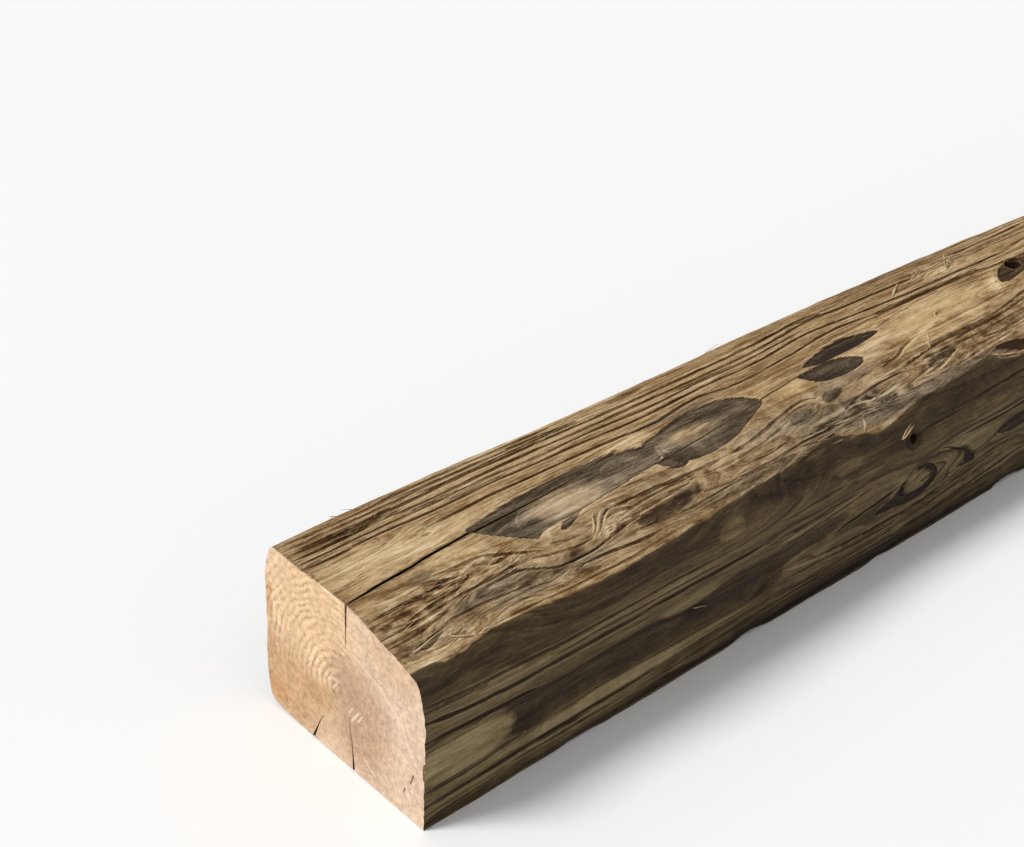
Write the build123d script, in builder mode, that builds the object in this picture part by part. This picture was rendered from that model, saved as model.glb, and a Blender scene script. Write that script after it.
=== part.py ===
# Reclaimed timber beam: one solid piece of boxed-heart softwood, lying on its underside.
# Millimetres, X along the grain, Y across, Z up, origin under the middle of the beam.
# Places along the beam are shares of its length, and those across and up are from its front lower edge.
from build123d import *
import os

os.makedirs("parts", exist_ok=True)

# Overall size between the flat faces
LENGTH = 2400
WIDTH = 150
HEIGHT = 120

# Worn corners at stations along the beam: share of length, inset and drop of the arris,
# reach of the wear down the side, reach of the wear across the top or underside
FRONT_TOP_WEAR = (
    (0.000, 10, 14, 44, 66),
    (0.021, 13, 14, 42, 64),
    (0.042, 9, 12, 40, 58),
    (0.083, 8, 11, 36, 50),
    (0.104, 12, 11, 34, 48),
    (0.125, 15, 12, 36, 52),
    (0.146, 20, 14, 42, 60),
    (0.165, 15, 15, 46, 58),
    (0.185, 17, 14, 44, 56),
    (0.208, 20, 13, 42, 58),
    (0.235, 21, 13, 38, 60),
    (0.300, 15, 12, 36, 54),
    (0.380, 10, 10, 32, 46),
    (0.470, 16, 13, 40, 56),
    (0.560, 22, 15, 46, 62),
    (0.650, 15, 12, 40, 54),
    (0.740, 9, 10, 34, 44),
    (0.830, 13, 13, 40, 52),
    (0.920, 19, 15, 44, 60),
    (1.000, 16, 13, 40, 56),
)
BACK_TOP_WEAR = (
    (0.00, 7, 2.2, 26, 18),
    (0.08, 5, 2.2, 22, 16),
    (0.17, 4, 2.2, 20, 15),
    (0.29, 6, 3.2, 26, 20),
    (0.42, 11, 8, 38, 34),
    (0.55, 7, 6, 28, 26),
    (0.68, 5, 5, 24, 22),
    (0.80, 9, 8, 34, 30),
    (0.91, 12, 9, 38, 34),
    (1.00, 9, 8, 34, 30),
)
BACK_BOTTOM_WEAR = (
    (0.00, 5, 4, 20, 34),
    (0.12, 4, 4, 18, 28),
    (0.26, 7, 5, 24, 36),
    (0.40, 5, 4, 20, 30),
    (0.56, 4, 4, 18, 26),
    (0.70, 8, 6, 26, 38),
    (0.86, 5, 5, 20, 30),
    (1.00, 6, 5, 22, 32),
)
FRONT_TOP_ARRIS = 4.0
BACK_TOP_ARRIS = 2.5
BACK_BOTTOM_ARRIS = 3.0

# Drying checks that open on the top: mouth width, root width, depth, mouth path, root path
TOP_CHECKS = (
    (2.4, 0.5, 32, ((-0.003, 71), (0.021, 76), (0.044, 82), (0.075, 86), (0.098, 91)),
     ((-0.003, 72), (0.014, 75), (0.030, 79), (0.040, 81), (0.048, 82))),
    (2.2, 0.5, 30, ((1.003, 70), (0.975, 74), (0.945, 72), (0.915, 78), (0.880, 80)),
     ((1.003, 74), (0.985, 75), (0.965, 75), (0.950, 76), (0.935, 77))),
)
# Checks closed at both ends: mouth width, root width, depth, mouth path, root path
TOP_SPLITS = (
    (1.8, 0.4, 14, ((0.062, 56), (0.083, 60), (0.104, 65), (0.125, 69), (0.150, 74), (0.177, 81)),
     ((0.075, 59), (0.090, 62), (0.104, 65), (0.125, 69), (0.145, 73), (0.165, 77))),
    (2.0, 0.4, 18, ((0.300, 88), (0.350, 92), (0.400, 90), (0.450, 95), (0.500, 93), (0.550, 98)),
     ((0.320, 88), (0.355, 91), (0.400, 89), (0.450, 92), (0.495, 92), (0.530, 95))),
    (1.6, 0.4, 12, ((0.600, 74), (0.640, 70), (0.680, 73), (0.720, 68), (0.760, 71), (0.790, 69)),
     ((0.615, 74), (0.645, 72), (0.680, 73), (0.720, 70), (0.755, 71), (0.775, 70))),
)
BACK_SPLITS = (
    (2.6, 0.5, 34, ((0.110, 60), (0.185, 56), (0.260, 63), (0.335, 58), (0.410, 64), (0.485, 61)),
     ((0.135, 56), (0.195, 54), (0.260, 57), (0.330, 55), (0.400, 58), (0.460, 57))),
    (1.8, 0.4, 18, ((0.690, 36), (0.740, 39), (0.790, 37), (0.840, 40), (0.890, 38), (0.930, 40)),
     ((0.705, 37), (0.745, 38), (0.790, 38), (0.840, 39), (0.880, 39), (0.915, 39))),
)
UNDER_CHECKS = (
    (1.8, 0.4, 24, ((-0.003, 64), (0.020, 66), (0.040, 65), (0.060, 69), (0.080, 71)),
     ((-0.003, 66), (0.010, 67), (0.025, 67), (0.035, 69), (0.045, 70))),
    (1.6, 0.4, 22, ((-0.003, 104), (0.008, 103), (0.018, 104), (0.028, 102), (0.038, 103)),
     ((-0.003, 95), (0.004, 95), (0.010, 96), (0.015, 96), (0.020, 97))),
)

# Long hollows left by the tool and by torn grain: share of length, place across or up, length, width, depth
TOP_HOLLOWS = (
    (0.073, 78, 160, 34, 2.4),
    (0.126, 84, 130, 34, 2.4),
    (0.192, 88, 100, 24, 1.6),
    (0.265, 84, 60, 30, 3.0),
    (0.360, 84, 240, 52, 2.6),
    (0.470, 88, 180, 40, 2.2),
    (0.580, 90, 260, 44, 2.8),
    (0.710, 90, 200, 50, 2.4),
    (0.820, 84, 240, 48, 2.6),
    (0.930, 88, 150, 40, 2.2),
)
FRONT_HOLLOWS = (
    (0.085, 44, 230, 40, 1.8),
    (0.270, 40, 260, 46, 2.4),
    (0.420, 46, 300, 50, 2.6),
    (0.590, 40, 240, 40, 2.0),
    (0.760, 46, 320, 50, 2.8),
    (0.910, 42, 220, 38, 2.0),
)
BACK_HOLLOWS = (
    (0.060, 48, 200, 36, 2.0),
    (0.220, 62, 240, 28, 2.2),
    (0.560, 54, 300, 40, 2.6),
    (0.780, 58, 260, 32, 2.2),
)

# Chips out of the sharp front lower edge: share of length, length, depth
EDGE_CHIPS = (
    (0.052, 26, 2.2), (0.118, 40, 3.2), (0.176, 22, 2.0), (0.243, 46, 3.6), (0.330, 30, 2.6),
    (0.415, 54, 4.0), (0.528, 28, 2.4), (0.640, 44, 3.4), (0.735, 32, 2.8), (0.858, 50, 3.8),
    (0.955, 30, 2.6),
)

# Holes left where dead knots fell out: share of length, place up or across, mouth width, root width, depth
FRONT_KNOT_HOLES = ((0.186, 88, 9, 4, 14), (0.655, 56, 14, 8, 22))
TOP_KNOT_HOLES = ((0.285, 90, 16, 9, 9), (0.515, 62, 11, 6, 16))
BACK_KNOT_HOLES = ((0.350, 88, 12, 7, 18),)

# Play of a cutter outside the wood, so it leaves no skin
CLEAR = 1.5
OUTSIDE = 30


def along(share):
    return (share - 0.5) * LENGTH


def cornerPlane(share, side, level):
    # Seen from the corner: first axis runs inward, second runs away from the top or underside
    inward = Vector(0, -side, 0)
    away = Vector(0, 0, 1 if level == 0 else -1)
    return Plane((along(share), side * WIDTH / 2, level), x_dir=inward, z_dir=inward.cross(away))


def cornerCutter(wear, arris, side, level):
    first, last = wear[0], wear[-1]
    stations = ((-0.01, *first[1:]), *wear[1:-1], (1.01, *last[1:]))
    with BuildPart() as cutter:
        for share, inset, drop, down, across in stations:
            with BuildSketch(cornerPlane(share, side, level)):
                with BuildLine():
                    flank = ThreePointArc(
                        (-CLEAR, down + 5 * CLEAR),
                        (0.30 * inset, (down + drop) / 2 + CLEAR),
                        (inset - 0.35 * arris, drop + arris),
                    )
                    slope = ThreePointArc(
                        (inset + 1.2 * arris, drop - 0.45 * arris),
                        ((inset + across) / 2, 0.45 * drop),
                        (across + 4 * CLEAR, -CLEAR),
                    )
                    Spline(flank @ 1, slope @ 0, tangents=(flank % 1, slope % 0))
                    Polyline(slope @ 1, (across + 4 * CLEAR, -OUTSIDE), (-OUTSIDE, -OUTSIDE),
                             (-OUTSIDE, down + 5 * CLEAR), flank @ 0)
                make_face()
        loft()
    return cutter.part


def facePlane(name, depth):
    # Drawing planes of the long faces, with the first axis along the beam and the second across or up
    if name == "top":
        return Plane((0, -WIDTH / 2, HEIGHT - depth), x_dir=(1, 0, 0), z_dir=(0, 0, 1))
    if name == "under":
        return Plane((0, WIDTH / 2, depth), x_dir=(1, 0, 0), z_dir=(0, 0, -1))
    if name == "front":
        return Plane((0, -WIDTH / 2 + depth, 0), x_dir=(1, 0, 0), z_dir=(0, -1, 0))
    return Plane((0, WIDTH / 2 - depth, 0), x_dir=(-1, 0, 0), z_dir=(0, 1, 0))


def placed(name, share, place):
    if name == "under":
        return along(share), WIDTH - place
    if name == "back":
        return -along(share), place
    return along(share), place


def checkOutline(name, path, width, openEnd):
    # A long thin lens round the path, cut off square where the check runs out of the end of the beam
    points = [placed(name, share, place) for share, place in path]
    count = len(points) - 1
    steps = [i / count for i in range(count + 1)]
    swell = [1 - s**2 if openEnd else 4 * s * (1 - s) for s in steps]
    upper = [(x, y + s * width / 2) for (x, y), s in zip(points, swell)]
    lower = [(x, y - s * width / 2) for (x, y), s in zip(points, swell)]
    Polyline(*upper, *reversed(lower[0 if openEnd else 1:-1]), close=True)


def checkCutter(name, check, openEnd):
    mouth, root, depth, mouthPath, rootPath = check
    with BuildPart() as cutter:
        for width, down, path in ((mouth, -CLEAR, mouthPath), (root, depth, rootPath)):
            with BuildSketch(facePlane(name, down)):
                with BuildLine():
                    checkOutline(name, path, width, openEnd)
                make_face()
        loft(ruled=True)
    return cutter.part


def hollowCutter(name, share, place, length, width, depth):
    # A ring so large that only the foot of it dips into the face
    long = ((length / 2) ** 2 + depth**2) / (2 * depth)
    tight = ((width / 2) ** 2 + depth**2) / (2 * depth)
    x, y = placed(name, share, place)
    centre = facePlane(name, depth) * Location((x, y, long))
    with BuildPart() as cutter:
        with Locations(Location(centre) * Location((0, 0, 0), (90, 0, 0))):
            Torus(long - tight, tight)
    return cutter.part


def chipCutter(share, length, depth):
    # A ball that bites the edge at 45 degrees
    radius = ((length / 2) ** 2 + depth**2) / (2 * depth)
    off = (radius - depth) / 2**0.5
    with BuildPart() as cutter:
        with Locations((along(share), -WIDTH / 2 - off, -off)):
            Sphere(radius)
    return cutter.part


def knotCutter(name, share, place, mouth, root, depth):
    x, y = placed(name, share, place)
    with BuildPart() as cutter:
        with BuildSketch(facePlane(name, -CLEAR)):
            with Locations((x, y)):
                Ellipse(0.65 * mouth, 0.5 * mouth)
        with BuildSketch(facePlane(name, depth)):
            with Locations((x + 0.2 * mouth, y)):
                Ellipse(0.6 * root, 0.5 * root)
        loft()
    return cutter.part


corners = [
    cornerCutter(FRONT_TOP_WEAR, FRONT_TOP_ARRIS, -1, HEIGHT),
    cornerCutter(BACK_TOP_WEAR, BACK_TOP_ARRIS, 1, HEIGHT),
    cornerCutter(BACK_BOTTOM_WEAR, BACK_BOTTOM_ARRIS, 1, 0),
]
hollows = [hollowCutter("top", *hollow) for hollow in TOP_HOLLOWS]
hollows += [hollowCutter("front", *hollow) for hollow in FRONT_HOLLOWS]
hollows += [hollowCutter("back", *hollow) for hollow in BACK_HOLLOWS]
chips = [chipCutter(*chip) for chip in EDGE_CHIPS]
knots = [knotCutter("front", *hole) for hole in FRONT_KNOT_HOLES]
knots += [knotCutter("top", *hole) for hole in TOP_KNOT_HOLES]
knots += [knotCutter("back", *hole) for hole in BACK_KNOT_HOLES]
checks = [checkCutter("top", check, True) for check in TOP_CHECKS]
checks += [checkCutter("under", check, True) for check in UNDER_CHECKS]
checks += [checkCutter("top", check, False) for check in TOP_SPLITS]
checks += [checkCutter("back", check, False) for check in BACK_SPLITS]

with BuildPart() as beam:
    Box(LENGTH, WIDTH, HEIGHT, align=(Align.CENTER, Align.CENTER, Align.MIN))
    for cutter in corners + hollows + chips + knots + checks:
        add(cutter, mode=Mode.SUBTRACT)

beam.part.label = "timber_beam"
export_step(beam.part, "parts/timber_beam.step")
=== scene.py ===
# Reclaimed timber beam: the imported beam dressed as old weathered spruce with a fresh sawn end
import math

import bmesh
import bpy
import numpy as np
from mathutils import Matrix, Vector, noise
from mathutils.bvhtree import BVHTree


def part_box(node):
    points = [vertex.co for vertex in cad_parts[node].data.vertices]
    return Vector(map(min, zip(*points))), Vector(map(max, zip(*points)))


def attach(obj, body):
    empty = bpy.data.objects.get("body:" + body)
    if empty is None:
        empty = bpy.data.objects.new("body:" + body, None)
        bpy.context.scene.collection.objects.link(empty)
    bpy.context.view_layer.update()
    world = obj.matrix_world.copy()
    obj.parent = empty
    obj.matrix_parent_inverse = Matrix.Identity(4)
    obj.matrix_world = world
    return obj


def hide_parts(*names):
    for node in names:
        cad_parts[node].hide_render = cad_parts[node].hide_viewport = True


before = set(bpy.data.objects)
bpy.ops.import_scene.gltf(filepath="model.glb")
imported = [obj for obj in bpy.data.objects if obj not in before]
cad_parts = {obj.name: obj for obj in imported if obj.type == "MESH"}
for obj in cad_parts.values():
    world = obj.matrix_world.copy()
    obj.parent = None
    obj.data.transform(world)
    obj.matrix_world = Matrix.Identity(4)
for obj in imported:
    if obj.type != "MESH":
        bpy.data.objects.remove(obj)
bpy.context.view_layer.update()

mm = 0.001
scene = bpy.context.scene
scene.view_settings.view_transform = "Standard"

# Everything below is in millimetres from the sawn end, the front side and the floor, until toFrame
low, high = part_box("timber_beam")
length = (high.x - low.x) / mm
width = (high.y - low.y) / mm
height = (high.z - low.z) / mm


def toFrame(x, y, z):
    return np.stack([low.x + x * mm, low.y + y * mm, low.z + z * mm], -1)


def hexToLinear(code):
    # sRGB hex as the eye reads it, turned to the linear values that Blender mixes
    parts = [int(code[i:i + 2], 16) / 255 for i in (1, 3, 5)]
    linear = [c / 12.92 if c <= 0.04045 else ((c + 0.055) / 1.055) ** 2.4 for c in parts]
    return (*linear, 1.0)


def fillInputs(node, links):
    # A list fills the inputs in use in their order, and a dictionary fills them by name. A value may be
    # plain, another node's socket, or a node, whose first output in use is taken
    inUse = [socket for socket in node.inputs if socket.enabled]
    for key, value in links.items() if isinstance(links, dict) else enumerate(links):
        socket = inUse[key] if isinstance(key, int) else node.inputs[key]
        if isinstance(value, bpy.types.Node):
            value = next(output for output in value.outputs if output.enabled)
        if isinstance(value, bpy.types.NodeSocket):
            node.id_data.links.new(value, socket)
        else:
            socket.default_value = value
    return node


def addNode(tree, kind, links=(), **settings):
    # One node of any kind, with its settings and links
    node = tree.nodes.new(kind)
    for name, value in settings.items():
        setattr(node, name, value)
    return fillInputs(node, links)


def addObject(name, data):
    obj = bpy.data.objects.new(name, data)
    scene.collection.objects.link(obj)
    return obj


def addAttribute(mesh, name, values, kind="FLOAT", domain="POINT"):
    layer = mesh.attributes.new(name, kind, domain)
    layer.data.foreach_set("vector" if kind == "FLOAT_VECTOR" else "value", values)


def smooth(value, start, end):
    # 0 before start, 1 after end, and an even S between
    t = np.clip((value - start) / (end - start), 0, 1)
    return t * t * (3 - 2 * t)


def noiseAt(x, y, z, size, seed=0):
    # Soft noise about -1 to 1, whose lumps measure size in mm along x, y and z
    points = np.stack([x / size[0] + 7.3 * seed, y / size[1] + 3.1 * seed, z / size[2] - 5.7 * seed], -1)
    values = np.fromiter((noise.noise(p) for p in points.reshape(-1, 3)), float, points[..., 0].size)
    return values.reshape(x.shape)


def blurWeights(gap, reach):
    weights = np.exp(-0.5 * (gap / reach) ** 2)
    return weights / weights.sum(1, keepdims=True)


print("camera")
camera = {
    "from": (-477.1, -548.8, 720.5),  # mm, in front of the sawn end's lower corner and above it
    "yaw": 43.98,                     # degrees to the right of straight across the beam
    "pitch": 31.52,                   # degrees down
    "roll": 3.05,
    "focal": 1749.1 / 1024,           # in picture widths
    "sensor": 36,
    "nearest": 0.02,                  # m, where it starts to see
}


def makeCamera(c):
    yaw, pitch, roll = (math.radians(c[k]) for k in ("yaw", "pitch", "roll"))
    ahead = Vector((math.sin(yaw) * math.cos(pitch), math.cos(yaw) * math.cos(pitch), -math.sin(pitch)))
    right = Vector((math.cos(yaw), -math.sin(yaw), 0))
    up = right.cross(ahead)
    tilted = right * math.cos(roll) + up * math.sin(roll)
    data = bpy.data.cameras.new("camera")
    data.sensor_width = c["sensor"]
    data.lens = c["sensor"] * c["focal"]
    data.clip_start = c["nearest"]
    turn = Matrix((tilted, tilted.cross(ahead), -ahead)).transposed()
    place = toFrame(*(np.array(v, float) for v in c["from"]))
    scene.camera = addObject("camera", data)
    scene.camera.matrix_world = Matrix.Translation(Vector(place)) @ turn.to_4x4()


makeCamera(camera)

print("skin of the beam")
skin = {
    "topStep": 1.15,       # mm between columns across the top
    "frontStep": 1.5,
    "backTopStep": 1.495,  # round the upper back corner
    "backStep": 5.6,
    "underStep": 12.0,
    "footStep": 1.2,       # round the front lower edge
    "endSteps": (0, 0.7, 1.8, 3.4),  # mm from each end
    "nearStart": 6,
    "nearStep": 2.8,       # mm between stations along the part that is seen close
    "nearLength": 700,
    "farStep": 14.0,
    "farEnd": 8,           # mm left at the far end
    "frontTopRadius": 30,  # corners of the sleeve that the skin is measured from
    "backTopRadius": 20,
    "backBottomRadius": 12,
    "frontBottomRadius": 3,
    "castFrom": 60.0,      # mm outside the sleeve
    "castInset": 0.4,      # mm kept from the ends
    "slotDepth": 0.8,      # mm, and a deeper dip that is narrow is closed
    "evenAlong": 7,        # mm of smoothing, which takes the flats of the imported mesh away
    "evenAcross": 1.5,
}


def sleeveColumns(s):
    # Points and outward directions round the section: up the front, over the top, down the back, under
    columns = []

    def run(a, b, outward, step):
        count = max(1, round(math.dist(a, b) / step))
        for i in range(count):
            t = i / count
            columns.append((a[0] + (b[0] - a[0]) * t, a[1] + (b[1] - a[1]) * t, *outward))

    def turn(centre, radius, start, end, step):
        count = max(2, round(radius * math.radians(abs(end - start)) / step))
        for i in range(count):
            a = math.radians(start + (end - start) * i / count)
            out = (math.cos(a), math.sin(a))
            columns.append((centre[0] + radius * out[0], centre[1] + radius * out[1], *out))

    ft, bt, bb, fb = (s[k] for k in ("frontTopRadius", "backTopRadius", "backBottomRadius", "frontBottomRadius"))
    run((0, fb), (0, height - ft), (-1, 0), s["frontStep"])
    turn((ft, height - ft), ft, 180, 90, s["topStep"])
    run((ft, height), (width - bt, height), (0, 1), s["topStep"])
    turn((width - bt, height - bt), bt, 90, 0, s["backTopStep"])
    run((width, height - bt), (width, bb), (1, 0), s["backStep"])
    turn((width - bb, bb), bb, 0, -90, s["backStep"])
    run((width - bb, 0), (fb, 0), (0, -1), s["underStep"])
    turn((fb, fb), fb, 270, 180, s["footStep"])
    return np.array(columns).T


def stations(s):
    ends = np.array(s["endSteps"])
    near = np.arange(s["nearStart"], s["nearLength"], s["nearStep"])
    last = length - s["farEnd"]
    count = round((last - near[-1]) / s["farStep"])
    far = np.linspace(near[-1], last, count + 1)[1:]
    return np.concatenate([ends, near, far, length - ends[::-1]])


def castSkin(x, columns, s):
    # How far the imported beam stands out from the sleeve, station by station
    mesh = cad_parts["timber_beam"].data
    tree = BVHTree.FromPolygons([v.co for v in mesh.vertices], [p.vertices[:] for p in mesh.polygons])
    y, z, outY, outZ = columns
    away = s["castFrom"]
    rise = np.zeros((len(x), len(y)))
    for i, station in enumerate(np.clip(x, s["castInset"], length - s["castInset"])):
        starts = toFrame(np.full_like(y, station), y + away * outY, z + away * outZ)
        for j, start in enumerate(starts):
            hit = tree.ray_cast(start, (0, -outY[j], -outZ[j]))[3]
            if hit is not None:
                rise[i, j] = away - hit / mm
    return rise


def bridge(rise, reach):
    # Widens, then narrows across the columns, so that a slot narrower than the reach is closed
    wide = np.max([np.roll(rise, k, 1) for k in range(-reach, reach + 1)], 0)
    return np.min([np.roll(wide, k, 1) for k in range(-reach, reach + 1)], 0)


def evenOut(rise, x, perimeter, sharp, s):
    rise = blurWeights(x[:, None] - x[None], s["evenAlong"]) @ rise
    gap = np.abs(perimeter[:, None] - perimeter[None])
    gap = np.minimum(gap, perimeter[-1] - gap)
    return np.where(sharp, rise, rise @ blurWeights(gap, s["evenAcross"]).T)


def fillHoles(rise, columns, x, holes):
    # Old knot holes are bridged here and cut again, crisp, with the checks
    y, z = columns[:2]
    margin = 20
    for hole in holes:
        place = z if hole["face"] in ("front", "back") else y
        facing = {"front": y < margin, "back": y > width - margin, "top": z > height - margin}[hole["face"]]
        near = facing & (np.abs(place - hole["place"]) < 0.9 * hole["mouth"])
        index = np.arange(len(y))
        for i in np.flatnonzero(np.abs(x - hole["x"] * length) < 1.2 * hole["mouth"]):
            rise[i, near] = np.interp(index[near], index[~near], rise[i, ~near])
    return rise


knotHoles = [  # as in the solid: face, share of the length, place across or up, mouth, root and depth
    {"face": "front", "x": 0.186, "place": 88, "mouth": 9, "root": 4, "depth": 14},
    {"face": "front", "x": 0.655, "place": 56, "mouth": 14, "root": 8, "depth": 22},
    {"face": "top", "x": 0.285, "place": 90, "mouth": 16, "root": 9, "depth": 9},
    {"face": "top", "x": 0.515, "place": 62, "mouth": 11, "root": 6, "depth": 16},
    {"face": "back", "x": 0.350, "place": 88, "mouth": 12, "root": 7, "depth": 18},
]

columns = sleeveColumns(skin)
along = stations(skin)
rise = castSkin(along, columns, skin)
spacing = np.hypot(*(np.roll(columns[:2], -1, 1) - columns[:2]))
bridged = np.where(spacing > 2, bridge(rise, 1), bridge(rise, 2))
rise = np.where(bridged - rise > skin["slotDepth"], bridged, rise)
rise = fillHoles(rise, columns, along, knotHoles)
perimeter = np.concatenate([[0], np.cumsum(spacing)])
sharpCorner = (columns[0] < 8) & (columns[1] < 8)
rise = evenOut(rise, along, perimeter[:-1], sharpCorner, skin)

# girth counts mm round the section: up the front from the floor, over the top from 137, down the back
# from 268 and under from 375, so a place on the surface is x and girth
girth = perimeter[:-1] + skin["frontBottomRadius"]
skinX = np.repeat(along[:, None], len(girth), 1)
skinGirth, outY, outZ = (np.repeat(row[None], len(along), 0) for row in (girth, columns[2], columns[3]))
skinY = columns[0][None] + rise * outY
skinZ = columns[1][None] + rise * outZ
print("skin", skinX.shape, "quads", skinX.size)


def skinAt(values, x, g):
    # A value of the skin at any x and girth
    i = np.clip(np.interp(x, along, np.arange(len(along))), 0, len(along) - 1.001)
    j = np.clip(np.interp(g, girth, np.arange(len(girth))), 0, len(girth) - 1.001)
    a, b = i.astype(int), j.astype(int)
    s, t = i - a, j - b
    return ((1 - s) * (1 - t) * values[a, b] + s * (1 - t) * values[a + 1, b]
            + (1 - s) * t * values[a, b + 1] + s * t * values[a + 1, b + 1])


faces = {"front": (0, 112), "top": (118, 250), "back": (262, 362), "under": (372, 512)}  # by girth


def onFace(face, g):
    # 1 on the named face and fading to 0 round its corners
    start, end = faces[face]
    return smooth(g, start - 8, start + 4) * (1 - smooth(g, end - 4, end + 8))


def roundedLine(points, closed, rounds=2):
    # Cuts each corner at a quarter, round after round, for a free-hand line
    p = np.array(points, float)
    for _ in range(rounds):
        a, b = (p, np.roll(p, -1, 0)) if closed else (p[:-1], p[1:])
        cut = np.stack([0.75 * a + 0.25 * b, 0.25 * a + 0.75 * b], 1).reshape(-1, 2)
        p = cut if closed else np.concatenate([p[:1], cut[1:-1], p[-1:]])
    return p


def measuredLine(points, rounds=2):
    # An open free-hand line, and how far along it each of its points lies
    p = roundedLine(points, False, rounds)
    return p, np.concatenate([[0], np.cumsum(np.hypot(*np.diff(p, axis=0).T))])


def fromSegment(u, v, a, b):
    # How far along the segment a to b each place lies, 0 to 1, and its offset from there
    ex, ey = b[0] - a[0], b[1] - a[1]
    t = np.clip(((u - a[0]) * ex + (v - a[1]) * ey) / (ex * ex + ey * ey + 1e-12), 0, 1)
    return t, u - a[0] - t * ex, v - a[1] - t * ey


def around(x, g, line, margin):
    # The places within a margin of a line's own box
    start, end = line.min(0) - margin, line.max(0) + margin
    return (x > start[0]) & (x < end[0]) & (g > start[1]) & (g < end[1])


print("grain lines")
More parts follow.
